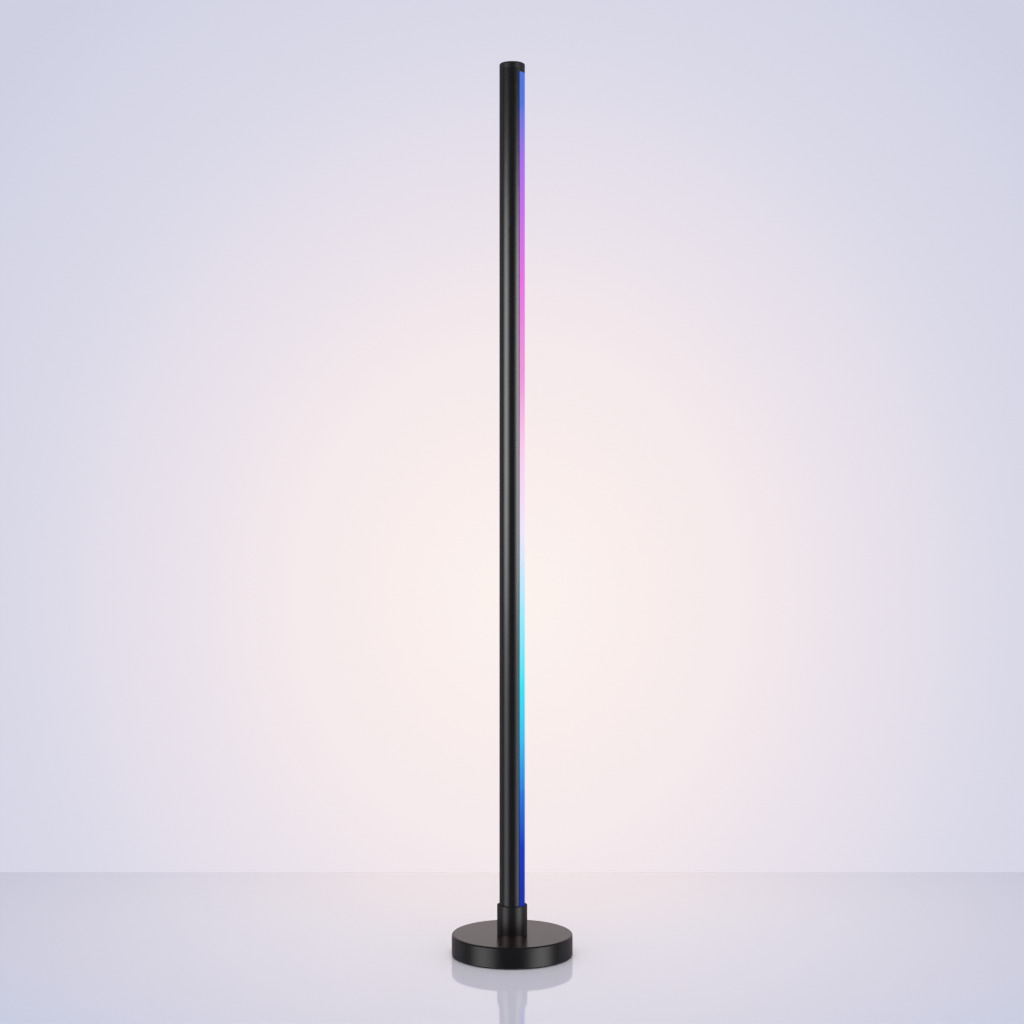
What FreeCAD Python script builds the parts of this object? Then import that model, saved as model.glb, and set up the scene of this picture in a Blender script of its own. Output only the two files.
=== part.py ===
import FreeCAD, Part
import math
import os
import re

import Sketcher
from FreeCAD import Rotation, Vector

# Corner floor lamp: a light pole that turns in the collar of a weighted round base.
# Millimetres, +Z up.  The origin is the centre of the base on the floor.  The diffuser of the
# pole looks along +X, and the power inlet and the push button are at the back, at +Y.

SIZES = {
    # Base: a spun steel cover over an iron weight, closed by a steel plate on a foam ring.
    "base_od": 142.5,
    "base_top": 25,
    "cover_wall": 1.5,
    "cover_round": 2,
    "cover_lift": 0.3,
    "rim_round": 0.5,
    "foot_od": 130,
    "foot_bore": 96,
    "foot_thick": 1,
    "plate_thick": 2,
    "plate_gap": 0.3,
    "plate_orbit": 40,
    "weight_gap": 0.4,
    "weight_hub": 6,
    "weight_bevel": 2,
    "well_room": 5,
    "bay_room": 5,
    "bay_roof": 3.5,
    "channel_wide": 10,
    "channel_deep": 9,
    # Collar, and the stack that clamps it to the base.
    "collar_od": 35.5,
    "collar_tall": 34,
    "collar_floor": 5,
    "collar_gap": 0.25,
    "collar_edge": 0.3,
    "mouth_bevel": 0.5,
    "nipple_od": 10,
    "nipple_bore": 6.5,
    "nipple_sink": 0.5,
    "nipple_tail": 0.5,
    "nut_across": 14,
    "nut_tall": 4,
    "washer_od": 17,
    "washer_thick": 1,
    "washer_notch": 1.5,
    # Turning joint between the collar and the pole.
    "thrust_bore": 12,
    "thrust_thick": 1,
    "ring_cord": 1.6,
    "ring_drop": 5,
    "run_fit": 0.08,
    "grub_dia": 4,
    "grub_tip": 2.5,
    "grub_sink": 0.4,
    "groove_lift": 4.5,
    "groove_wide": 3.1,
    "groove_deep": 1.5,
    "groove_gap": 0.3,
    # Coaxial contact that feeds the pole and lets it turn.
    "pin_dia": 3.5,
    "pin_reach": 9,
    "pin_tail": 6,
    "pin_end": 0.5,
    "band_pitch": 3,
    "band_tall": 0.8,
    "band_deep": 0.4,
    "holder_od": 8,
    "holder_tall": 3,
    "holder_tail": 4,
    "socket_od": 9,
    "socket_roof": 1.5,
    "socket_gap": 0.5,
    "lead_dia": 1.5,
    "lead_room": 0.45,
    "lead_lift": 1.5,
    # Pole: one extrusion with a seat for the light strip and two ports for end screws.
    "pole_od": 30,
    "pole_wall": 1.5,
    "pole_long": 998,
    "slot_half": 58.3,
    "seat_drop": 2.6,
    "web_wall": 1.5,
    "port_od": 6,
    "port_turn": 130,
    "port_bite": 0.5,
    "notch_tall": 14,
    "notch_wide": 5,
    "plug_roof": 1.5,
    # Top cap, and the prongs and the tab that locate it.
    "cap_tall": 7,
    "cap_round": 1.6,
    "tab_long": 4.5,
    "tab_wall": 1.3,
    "prong_long": 8,
    "prong_gap": 0.9,
    "join_gap": 0.15,
    # Diffuser, snapped into the slot of the pole.
    "diffuser_wall": 1.3,
    "leg_wall": 1,
    "leg_foot": 0.3,
    "hook_tall": 1.1,
    # Light strip.
    "tape_wide": 10,
    "tape_thick": 0.4,
    "tape_end": 2,
    "chip_pitch": 16.5,
    "chip_side": 5,
    "chip_tall": 1.6,
    # Screws.
    "screw_dia": 3,
    "screw_head": 5.6,
    "head_sink": 0.2,
    "key_across": 2,
    "key_deep": 1,
    "thread_gap": 0.05,
    "cap_screw": 14,
    "plug_screw": 22,
    "plate_screw": 8,
    "board_screw_dia": 2.5,
    "board_screw_head": 4.5,
    "board_screw_cap": 1.5,
    "board_screw": 3,
    # Control board in the bay at the back of the base.
    "board_wide": 36,
    "board_deep": 21,
    "board_thick": 1.6,
    "board_gap": 1.2,
    "spacer_od": 5,
    "spacer_tall": 2,
    "spacer_inset": 3,
    "header_wide": 8,
    "header_deep": 5,
    "header_tall": 5,
    "header_inset": 1,
    "driver_wide": 7,
    "driver_tall": 1.4,
    "can_dia": 6.3,
    "can_tall": 7,
    "coil_side": 6,
    "coil_tall": 3.5,
    # Window at the back of the cover, its bezel, the power inlet and the push button.
    "window_wide": 36,
    "window_tall": 14,
    "window_round": 3,
    "bezel_gap": 0.2,
    "bezel_sink": 0.3,
    "bezel_deep": 3.5,
    "flange_side": 1.5,
    "flange_wall": 2,
    "inlet_turnout": 9,
    "inlet_wide": 9,
    "inlet_tall": 11,
    "inlet_deep": 10,
    "inlet_axis": 5.9,
    "barrel_od": 8.6,
    "barrel_bore": 5.7,
    "barrel_sink": 0.2,
    "inlet_reach": 9,
    "inlet_pin": 2,
    "pin_short": 1,
    "button_turnout": 9,
    "button_dia": 8,
    "button_proud": 1.6,
    "button_lip": 1,
    "lip_wall": 1.2,
    "button_dish": 0.4,
    "dish_rim": 0.8,
    "button_travel": 0.8,
    "switch_wide": 7,
    "switch_deep": 6,
    "switch_tall": 9.4,
    "switch_stop": 0.4,
    "plunger_dia": 3.2,
    "plunger_in": 2,
}

doc = FreeCAD.newDocument("corner_floor_lamp")
sheet = doc.addObject("Spreadsheet::Sheet", "Sizes")
for row, (alias, number) in enumerate(SIZES.items(), start=1):
    sheet.set(f"A{row}", str(number))
    sheet.setAlias(f"A{row}", alias)
doc.recompute()

# Places worked out from the sizes.  Every Z is a height above the floor.
RIM_Z = "(foot_thick + cover_lift)"
PLATE_TOP = "(foot_thick + plate_thick)"
COVER_INNER = "(base_od / 2 - cover_wall)"
CEILING = "(base_top - cover_wall)"
WEIGHT_TALL = f"({CEILING} - {PLATE_TOP})"
WEIGHT_RADIUS = f"({COVER_INNER} - bezel_gap - flange_wall - weight_gap)"
WELL_RADIUS = "(nut_across / sqrt(3) + well_room)"
NUT_TOP = f"({CEILING} - weight_hub - washer_thick)"
NIPPLE_FOOT = f"({NUT_TOP} - nut_tall - nipple_tail)"
SEAT_Z = "(base_top + collar_floor)"
NIPPLE_TOP = f"({SEAT_Z} - nipple_sink)"
NIPPLE_HOLE = "(nipple_od / 2 + join_gap)"
COLLAR_BORE = "(pole_od / 2 + collar_gap)"
RING_OUTER = "(pole_od / 2 + run_fit + ring_cord)"
PLUG_RADIUS = f"({COLLAR_BORE} - run_fit)"
GROOVE_FLOOR = f"({PLUG_RADIUS} - groove_deep)"
PLUG_FOOT = f"({SEAT_Z} + thrust_thick)"
GROOVE_Z = f"({PLUG_FOOT} + groove_lift)"
HOLDER_TOP = f"({NIPPLE_TOP} + holder_tall)"
PIN_FOOT = f"({NIPPLE_TOP} - pin_tail)"
PIN_TIP = f"({HOLDER_TOP} + pin_reach)"
SOCKET_FOOT = f"({HOLDER_TOP} + socket_gap)"
SOCKET_HEAD = f"({PIN_TIP} + pin_end + socket_roof)"
POLE_FOOT = f"({SOCKET_HEAD} + plug_roof)"
POLE_HEAD = f"({POLE_FOOT} + pole_long)"
POLE_INNER = "(pole_od / 2 - pole_wall)"
WEB_FACE = f"({POLE_INNER} * cos(slot_half) - seat_drop)"
WEB_BACK = f"({WEB_FACE} - web_wall)"
TAPE_FACE = f"({WEB_FACE} + tape_thick)"
TAPE_FOOT = f"({POLE_FOOT} + notch_tall)"
PORT_ORBIT = f"({POLE_INNER} - port_od / 2 + port_bite)"
PORT_X = f"({PORT_ORBIT} * cos(port_turn))"
PORT_Y = f"({PORT_ORBIT} * sin(port_turn))"
PRONG_FROM = "(lead_dia / 2 + lead_room)"
PRONG_TO = f"({PORT_Y} - port_od / 2 - prong_gap)"
PRONG_BACK = f"sqrt(({POLE_INNER} - prong_gap) ^ 2 - {PRONG_TO} ^ 2)"
CHIP_COUNT = "floor((pole_long - tab_long - notch_tall - tape_end) / chip_pitch)"
BOARD_FOOT = f"({PLATE_TOP} + spacer_tall)"
BOARD_TOP = f"({BOARD_FOOT} + board_thick)"
INLET_Z = f"({BOARD_TOP} + inlet_axis)"
BEZEL_FACE = "(sqrt((base_od / 2) ^ 2 - (window_wide / 2) ^ 2) - bezel_sink)"
BEZEL_BACK = f"({BEZEL_FACE} - bezel_deep)"
BOARD_BACK = f"({BEZEL_BACK} - board_gap)"
BOARD_FRONT = f"({BOARD_BACK} - board_deep)"
BAY_FRONT = f"({BOARD_FRONT} - bay_room)"
BAY_HALF = "(max(window_wide / 2 + flange_side; board_wide / 2) + bay_room)"
LIP_FRONT = f"({BEZEL_BACK} - join_gap)"
BUTTON_BACK = f"({LIP_FRONT} - lip_wall)"
SWITCH_FACE = f"({BUTTON_BACK} - button_travel - switch_stop)"
BOARD_SPOTS = [("(board_wide / 2 - spacer_inset)", f"({BOARD_FRONT} + spacer_inset)"),
               ("(spacer_inset - board_wide / 2)", f"({BOARD_FRONT} + spacer_inset)"),
               ("0", f"({BOARD_BACK} - spacer_inset)")]

parts = []


def sized(formula):
    """The formula with the name of each size pointed at its cell."""
    def cell(word):
        return f"Sizes.{word.group()}" if word.group() in SIZES else word.group()
    return re.sub(r"[a-z_]+", cell, str(formula))


def value(formula):
    """The number that a formula gives."""
    return float(sheet.evalExpression(sized(formula)))


def bind(thing, **formulas):
    """Hold properties of an object to formulas; two underscores in a name stand for a dot."""
    for name, formula in formulas.items():
        thing.setExpression(name.replace("__", "."), sized(formula))


def node(thing, label):
    """Name a finished sub-part and list it to be written."""
    thing.Label = label
    parts.append(thing)
    return thing


# ---------------------------------------------------------------- sketches and features

def new_body(label, height="0"):
    """An empty body at a height above the floor, which may hold separate solids."""
    body = doc.addObject("PartDesign::Body", label)
    body.AllowCompound = True
    bind(body, Placement__Base__z=height)
    return node(body, label)


def origin_part(body, role):
    return next(item for item in body.Origin.OriginFeatures if item.Role == role)


def sketch(body, role="XY_Plane", offset="0"):
    """A sketch on an origin plane of the body, moved along the plane's normal."""
    drawing = body.newObject("Sketcher::SketchObject", f"{body.Name}_sketch")
    drawing.AttachmentSupport = [(origin_part(body, role), "")]
    drawing.MapMode = "FlatFace"
    bind(drawing, AttachmentOffset__Base__z=offset)
    return drawing


def drive(drawing, constraint, formula):
    number = drawing.addConstraint(constraint)
    drawing.setExpression(f"Constraints[{number}]", sized(formula))


def hold(drawing, item, x, y):
    """Hold the start of a line, or the centre of a circle, at a place."""
    spot = 1 if drawing.Geometry[item].TypeId == "Part::GeomLineSegment" else 3
    drive(drawing, Sketcher.Constraint("DistanceX", -1, 1, item, spot, value(x)), x)
    drive(drawing, Sketcher.Constraint("DistanceY", -1, 1, item, spot, value(y)), y)


def outline(drawing, corners):
    """A closed outline of straight lines through corners given as pairs of formulas."""
    spots = [Vector(value(x), value(y), 0) for x, y in corners]
    first = drawing.GeometryCount
    for start, end in zip(spots, spots[1:] + spots[:1]):
        drawing.addGeometry(Part.LineSegment(start, end))
    lines = list(range(first, first + len(corners)))
    for line, following in zip(lines, lines[1:] + lines[:1]):
        drawing.addConstraint(Sketcher.Constraint("Coincident", line, 2, following, 1))
    for line, (x, y) in zip(lines, corners):
        hold(drawing, line, x, y)
    return drawing


def rectangle(drawing, x_from, x_to, y_from, y_to):
    return outline(drawing, [(x_from, y_from), (x_to, y_from), (x_to, y_to), (x_from, y_to)])


def circle(drawing, diameter, x="0", y="0"):
    shape = Part.Circle(Vector(value(x), value(y), 0), Vector(0, 0, 1), value(diameter) / 2)
    item = drawing.addGeometry(shape)
    hold(drawing, item, x, y)
    drive(drawing, Sketcher.Constraint("Diameter", item, value(diameter)), diameter)
    return drawing


def ring(drawing, outer, inner):
    return circle(circle(drawing, outer), inner)


def hexagon(drawing, across, x="0", y="0"):
    corner = f"({across} / sqrt(3))"
    return outline(drawing, [(f"{x} + {corner} * cos({turn})", f"{y} + {corner} * sin({turn})")
                             for turn in range(0, 360, 60)])


def rounded(drawing, half_wide, half_tall, radius, middle="0"):
    """A rectangle with round corners, centred on the sketch's vertical axis."""
    arcs = []
    for x_side, y_side, turn in ((1, 1, 0), (-1, 1, 90), (-1, -1, 180), (1, -1, 270)):
        x = f"{x_side} * ({half_wide} - {radius})"
        y = f"{middle} + {y_side} * ({half_tall} - {radius})"
        corner = Part.Circle(Vector(value(x), value(y), 0), Vector(0, 0, 1), value(radius))
        quarter = Part.ArcOfCircle(corner, math.radians(turn), math.radians(turn + 90))
        arcs.append(drawing.addGeometry(quarter))
        drive(drawing, Sketcher.Constraint("Radius", arcs[-1], value(radius)), radius)
        hold(drawing, arcs[-1], x, y)
    for arc, following in zip(arcs, arcs[1:] + arcs[:1]):
        line = drawing.addGeometry(Part.LineSegment(drawing.getPoint(arc, 2),
                                                    drawing.getPoint(following, 1)))
        drawing.addConstraint(Sketcher.Constraint("Tangent", arc, 2, line, 1))
        drawing.addConstraint(Sketcher.Constraint("Tangent", line, 2, following, 1))
    return drawing


def feature(body, kind, drawing, **settings):
    """Add a feature to the body.  One that cuts has to make the solid smaller."""
    doc.recompute()
    before = 0 if body.Shape.isNull() else body.Shape.Volume
    made = body.newObject(f"PartDesign::{kind}", f"{body.Name}_{kind.lower()}")
    made.Profile = drawing
    for name, setting in settings.items():
        if isinstance(setting, str):
            bind(made, **{name: setting})
        else:
            setattr(made, name, setting)
    doc.recompute()
    if kind == "Pocket" and not body.Shape.Volume < before:
        raise RuntimeError(f"{made.Label} cuts nothing")
    return made


def pad(body, drawing, length, back=False, **settings):
    """Thicken a sketch along its plane's normal, or backwards."""
    return feature(body, "Pad", drawing, Length=length, Reversed=back, **settings)


def pocket(body, drawing, length, along=False, **settings):
    """Cut a sketch against its plane's normal, or along it."""
    return feature(body, "Pocket", drawing, Length=length, Reversed=along, **settings)


def revolve(body, corners):
    """A solid turned about Z from an outline of radius and height."""
    drawing = outline(sketch(body, "XZ_Plane"), corners)
    return feature(body, "Revolution", drawing, ReferenceAxis=(drawing, ["V_Axis"]), Angle=360)


def around(body, features, count):
    """Repeat features about Z."""
    pattern = body.newObject("PartDesign::PolarPattern", f"{body.Name}_ring")
    pattern.Originals = features
    pattern.Axis = (origin_part(body, "Z_Axis"), [""])
    pattern.Angle = 360
    pattern.Occurrences = count
    body.Tip = pattern


def soften(body, kind, size, radius, height):
    """Round or bevel the body's edge about Z that has this radius and height."""
    base = body.Tip
    names = [f"Edge{k}" for k, edge in enumerate(base.Shape.Edges, start=1)
             if edge.Curve.TypeId == "Part::GeomCircle"
             and abs(edge.Curve.Radius - value(radius)) < 1e-4
             and abs(edge.Curve.Center.z - value(height)) < 1e-4]
    made = body.newObject(f"PartDesign::{kind}", f"{body.Name}_{kind.lower()}")
    made.Base = (base, names)
    bind(made, **{"Radius" if kind == "Fillet" else "Size": size})
    doc.recompute()


# ---------------------------------------------------------------- simple solids

def block(x_from, x_to, y_from, y_to, z_from, z_to):
    box = doc.addObject("Part::Box", "block")
    bind(box, Length=f"{x_to} - ({x_from})", Width=f"{y_to} - ({y_from})",
         Height=f"{z_to} - ({z_from})", Placement__Base__x=x_from, Placement__Base__y=y_from,
         Placement__Base__z=z_from)
    return box


def rod(diameter, length, x="0", y="0", z="0", to_back=False):
    """A round bar from a place upwards, or towards the back of the lamp."""
    bar = doc.addObject("Part::Cylinder", "rod")
    if to_back:
        bar.Placement.Rotation = Rotation(Vector(1, 0, 0), -90)
    bind(bar, Radius=f"({diameter}) / 2", Height=length, Placement__Base__x=x,
         Placement__Base__y=y, Placement__Base__z=z)
    return bar


def cut(base, *tools):
    for tool in tools:
        less = doc.addObject("Part::Cut", "cut")
        less.Base = base
        less.Tool = tool
        base = less
    return base


def join(*solids):
    whole = doc.addObject("Part::MultiFuse", "join")
    whole.Shapes = list(solids)
    return whole


def group(*solids):
    """Separate solids that share one name."""
    bundle = doc.addObject("Part::Compound", "group")
    bundle.Links = list(solids)
    return bundle


def lead(label, route):
    """A sleeved lead: straight runs through the route's points, joined by tangent arcs."""
    spots = [Vector(*(value(place) for place in point)) for point in route]
    radius = value("lead_dia") / 2
    edges = []
    radii = []
    start = spots[0]
    for before, corner, after in zip(spots, spots[1:], spots[2:]):
        run_in = before - corner
        run_out = after - corner
        half_turn = (math.pi - run_in.getAngle(run_out)) / 2
        reach = 0.45 * min(run_in.Length, run_out.Length)
        bend = reach / math.tan(half_turn)
        arc_from = corner + run_in.normalize() * reach
        arc_to = corner + run_out.normalize() * reach
        inward = (run_in + run_out).normalize()
        middle = corner + inward * (bend / math.cos(half_turn) - bend)
        edges.append(Part.LineSegment(start, arc_from).toShape())
        edges.append(Part.Arc(arc_from, middle, arc_to).toShape())
        radii.append(round(bend, 2))
        start = arc_to
    edges.append(Part.LineSegment(start, spots[-1]).toShape())
    path = Part.Wire(edges)
    section = Part.Wire(Part.makeCircle(radius, spots[0], spots[1] - spots[0]))
    sleeve = doc.addObject("Part::Feature", label)
    sleeve.Shape = path.makePipeShell([section], True, False)
    expected = math.pi * radius ** 2 * path.Length
    print(f"{label}: {path.Length:.1f} long, radii {radii}, volume {sleeve.Shape.Volume:.2f} "
          f"against {expected:.2f}")
    node(sleeve, label)


# ---------------------------------------------------------------- screws

def sunk_hole(body, x, y, height, long, upward):
    """A countersunk clearance hole from a face of the body into it."""
    hole = pocket(body, circle(sketch(body, offset=height), "screw_dia + 2 * join_gap", x, y),
                  long, along=upward)
    sink = pocket(body, circle(sketch(body, offset=height),
                               "screw_head + 2 * (join_gap + head_sink)", x, y),
                  "(screw_head - screw_dia) / 2 + head_sink", along=upward, TaperAngle="-45")
    return [hole, sink]


def sunk_screw(body, x, y, long, upward):
    """A countersunk screw with its head on the body's z = 0, and the key socket in it."""
    head = pad(body, circle(sketch(body), "screw_head", x, y), "(screw_head - screw_dia) / 2",
               back=not upward, TaperAngle="-45")
    shank = pad(body, circle(sketch(body), "screw_dia", x, y), long, back=not upward)
    key = pocket(body, hexagon(sketch(body), "key_across", x, y), "key_deep", along=upward)
    return [head, shank, key]


def port_screws(label, height, long, upward):
    """The two screws at one end of the pole."""
    body = new_body(label, height)
    for y in (PORT_Y, f"-{PORT_Y}"):
        sunk_screw(body, PORT_X, y, long, upward)


# ---------------------------------------------------------------- base

PLATE_HOLE = ("plate_orbit * cos(45)", "plate_orbit * sin(45)")


def foot_ring():
    """Foam ring under the plate, the only thing that meets the floor."""
    body = new_body("foot_ring")
    pad(body, ring(sketch(body), "foot_od", "foot_bore"), "foot_thick")


def base_plate():
    """Steel disc that closes the base from below."""
    body = new_body("base_plate", "foot_thick")
    pad(body, circle(sketch(body), f"2 * ({COVER_INNER} - plate_gap)"), "plate_thick")
    around(body, sunk_hole(body, *PLATE_HOLE, "0", "plate_thick", upward=True), 4)


def plate_screws():
    body = new_body("plate_screws", "foot_thick + head_sink")
    around(body, sunk_screw(body, *PLATE_HOLE, "plate_screw", upward=True), 4)


def base_weight():
    """Cast iron disc with a well for the nut, a bay for the board and a channel between."""
    body = new_body("base_weight", PLATE_TOP)
    well_roof = f"({WEIGHT_TALL} - weight_hub)"
    revolve(body, [(NIPPLE_HOLE, well_roof), (WELL_RADIUS, well_roof), (WELL_RADIUS, "0"),
                   (WEIGHT_RADIUS, "0"), (WEIGHT_RADIUS, WEIGHT_TALL),
                   (NIPPLE_HOLE, WEIGHT_TALL)])
    soften(body, "Chamfer", "weight_bevel", WEIGHT_RADIUS, WEIGHT_TALL)
    bay = rectangle(sketch(body), f"-{BAY_HALF}", BAY_HALF, BAY_FRONT, "base_od")
    pocket(body, bay, f"{WEIGHT_TALL} - bay_roof", along=True)
    channel = rectangle(sketch(body), "-channel_wide / 2", "channel_wide / 2", "0",
                        f"{BAY_FRONT} + bay_room")
    pocket(body, channel, "channel_deep", along=True)
    tapped = pocket(body, circle(sketch(body), "screw_dia + 2 * thread_gap", *PLATE_HOLE),
                    "plate_screw", along=True)
    around(body, [tapped], 4)


def base_cover():
    """Spun steel shell, open below, with a window at the back for the bezel."""
    body = new_body("base_cover")
    revolve(body, [(NIPPLE_HOLE, CEILING), (COVER_INNER, CEILING), (COVER_INNER, RIM_Z),
                   ("base_od / 2", RIM_Z), ("base_od / 2", "base_top"),
                   (NIPPLE_HOLE, "base_top")])
    soften(body, "Fillet", "cover_round", "base_od / 2", "base_top")
    soften(body, "Fillet", "rim_round", "base_od / 2", RIM_Z)
    window = rounded(sketch(body, "XZ_Plane", "-base_od"), "window_wide / 2",
                     "window_tall / 2", "window_round", INLET_Z)
    pocket(body, window, f"base_od - {BAY_FRONT}", along=True)


def rear_bezel():
    """Moulded insert: a flat panel in the window, and a curved flange behind the wall."""
    half_wide = "(window_wide / 2 - bezel_gap)"
    half_tall = "(window_tall / 2 - bezel_gap)"
    corner = "(window_round - bezel_gap)"
    wide = f"({half_wide} + flange_side)"
    tall = f"({half_tall} + flange_side)"
    flange_outer = f"2 * ({COVER_INNER} - bezel_gap)"
    body = new_body("rear_bezel", INLET_Z)
    pad(body, rectangle(sketch(body, "XZ_Plane", "-base_od / 2"), f"-{wide}", wide, f"-{tall}",
                        tall), f"base_od / 2 - {BAY_FRONT}")
    pocket(body, ring(sketch(body, offset=f"-{tall}"), "2 * base_od", flange_outer),
           f"2 * {tall}", along=True)
    pocket(body, circle(sketch(body, offset=f"-{tall}"), f"{flange_outer} - 2 * flange_wall"),
           f"2 * {tall}", along=True)
    pocket(body, rounded(sketch(body, "XZ_Plane", "-base_od"), half_wide, half_tall, corner),
           "base_od", along=True)
    pad(body, rounded(sketch(body, "XZ_Plane", f"-{BEZEL_FACE}"), half_wide, half_tall, corner),
        "bezel_deep")
    holes = sketch(body, "XZ_Plane", "-base_od")
    circle(holes, "barrel_od + 2 * bezel_gap", "inlet_turnout")
    circle(holes, "button_dia + 2 * join_gap", "-button_turnout")
    pocket(body, holes, "base_od", along=True)


# ---------------------------------------------------------------- collar and its clamp

def collar():
    """Turned steel socket for the pole, threaded on the nipple through its floor."""
    body = new_body("collar", "base_top")
    hole = "(nipple_od / 2 + thread_gap)"
    outer = "(collar_od / 2)"
    groove = f"({RING_OUTER} + thread_gap)"
    low = "(collar_tall - ring_drop - ring_cord / 2 - thread_gap)"
    high = "(collar_tall - ring_drop + ring_cord / 2 + thread_gap)"
    revolve(body, [(hole, "0"), (outer, "0"), (outer, "collar_tall - collar_edge"),
                   (f"{outer} - collar_edge", "collar_tall"),
                   (f"{COLLAR_BORE} + mouth_bevel", "collar_tall"),
                   (COLLAR_BORE, "collar_tall - mouth_bevel"), (COLLAR_BORE, high),
                   (groove, high), (groove, low), (COLLAR_BORE, low),
                   (COLLAR_BORE, "collar_floor"), (hole, "collar_floor")])
    screw_hole = circle(sketch(body, "XZ_Plane"), "grub_dia", "0", f"{GROOVE_Z} - base_top")
    pocket(body, screw_hole, "collar_od")


def grub_screw():
    """Screw through the collar whose dog point keeps the pole from lifting out."""
    body = new_body("grub_screw", GROOVE_Z)
    shoulder = f"({COLLAR_BORE} + join_gap)"
    outer = "(collar_od / 2 - grub_sink)"
    tip = f"({GROOVE_FLOOR} + groove_gap)"
    pad(body, circle(sketch(body, "XZ_Plane", f"-{tip}"), "grub_tip"), f"{shoulder} - {tip}",
        back=True)
    pad(body, circle(sketch(body, "XZ_Plane", f"-{shoulder}"), "grub_dia - 2 * thread_gap"),
        f"{outer} - {shoulder}", back=True)
    pocket(body, hexagon(sketch(body, "XZ_Plane", f"-{outer}"), "key_across"), "key_deep",
           along=True)


def threaded_nipple():
    """Hollow rod that ties the collar, cover and weight together."""
    tall = f"{NIPPLE_TOP} - {NIPPLE_FOOT}"
    node(cut(rod("nipple_od", tall, z=NIPPLE_FOOT), rod("nipple_bore", tall, z=NIPPLE_FOOT)),
         "threaded_nipple")


def lock_washer():
    body = new_body("lock_washer", NUT_TOP)
    pad(body, ring(sketch(body), "washer_od", f"2 * {NIPPLE_HOLE}"), "washer_thick")
    notch = pocket(body, circle(sketch(body), "washer_notch", "washer_od / 2"), "washer_thick",
                   along=True)
    around(body, [notch], 12)


def nipple_nut():
    body = new_body("nipple_nut", f"{NUT_TOP} - nut_tall")
    pad(body, hexagon(sketch(body), "nut_across"), "nut_tall")
    pocket(body, circle(sketch(body), "nipple_od + 2 * thread_gap"), "nut_tall", along=True)


def thrust_washer():
    """Nylon washer on the collar's floor that the pole turns on."""
    body = new_body("thrust_washer", SEAT_Z)
    pad(body, ring(sketch(body), f"2 * ({COLLAR_BORE} - join_gap)", "thrust_bore"),
        "thrust_thick")


def friction_ring():
    """Rubber ring in the collar's mouth that steadies the pole and holds its turn."""
    torus = doc.addObject("Part::Torus", "friction_ring")
    bind(torus, Radius1=f"{RING_OUTER} - ring_cord / 2", Radius2="ring_cord / 2",
         Placement__Base__z="base_top + collar_tall - ring_drop")
    node(torus, "friction_ring")


# ---------------------------------------------------------------- contact

def contact_holder():
    """Nylon bush on the end of the nipple that carries the pin."""
    body = new_body("contact_holder", NIPPLE_TOP)
    hole = "(pin_dia / 2 + thread_gap)"
    neck = "(nipple_bore / 2 - thread_gap)"
    revolve(body, [(hole, "-holder_tail"), (neck, "-holder_tail"), (neck, "0"),
                   ("holder_od / 2", "0"), ("holder_od / 2", "holder_tall"),
                   (hole, "holder_tall")])


def band_feet():
    """Heights of the feet of the pin's two insulating bands."""
    return [f"({HOLDER_TOP} + {place} * band_pitch)" for place in (1, 2)]


def contact_pin():
    """Brass pin with two grooves for the bands and a bevelled tip."""
    body = new_body("contact_pin")
    outer = "(pin_dia / 2)"
    waist = "(pin_dia / 2 - band_deep)"
    corners = [("0", PIN_FOOT), (outer, PIN_FOOT)]
    for foot in band_feet():
        head = f"{foot} + band_tall"
        corners += [(outer, foot), (waist, foot), (waist, head), (outer, head)]
    corners += [(outer, f"{PIN_TIP} - band_deep"), (waist, PIN_TIP), ("0", PIN_TIP)]
    revolve(body, corners)


def contact_bands():
    """Nylon bands that part the pin's three contacts."""
    bands = [cut(rod("pin_dia", "band_tall", z=foot),
                 rod("pin_dia - 2 * band_deep", "band_tall", z=foot)) for foot in band_feet()]
    node(group(*bands), "contact_bands")


def contact_socket():
    """Socket in the pole's plug that turns on the pin."""
    body = new_body("contact_socket", SOCKET_FOOT)
    bore = "(pin_dia / 2 + run_fit)"
    roof = "(pin_reach - socket_gap + pin_end)"
    tall = f"{SOCKET_HEAD} - {SOCKET_FOOT}"
    revolve(body, [(bore, "0"), ("socket_od / 2", "0"), ("socket_od / 2", tall), ("0", tall),
                   ("0", roof), (bore, roof)])


def contact_lead():
    """Lead from the pin's foot, down through the nipple and back to the board's header."""
    low = f"({PLATE_TOP} + lead_lift + lead_dia / 2)"
    header = f"({BOARD_TOP} + header_tall / 2)"
    lead("contact_lead", [("0", "0", PIN_FOOT), ("0", "0", low),
                          ("0", f"{BAY_FRONT} - 2 * bay_room", low),
                          ("0", f"{BOARD_FRONT} - bay_room / 2", header),
                          ("0", f"{BOARD_FRONT} + header_inset", header)])


# ---------------------------------------------------------------- pole

def sector(drawing, apex="0", front=True):
    """The ground in front of the slot's two radial faces, or the ground behind them."""
    reach = "(2 * pole_od)"
    x = f"{apex} + {reach} * cos(slot_half)"
    y = f"{reach} * sin(slot_half)"
    far = reach if front else f"-{reach}"
    return outline(drawing, [(apex, "0"), (x, y), (far, y), (far, f"-{y}"), (x, f"-{y}")])


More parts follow.
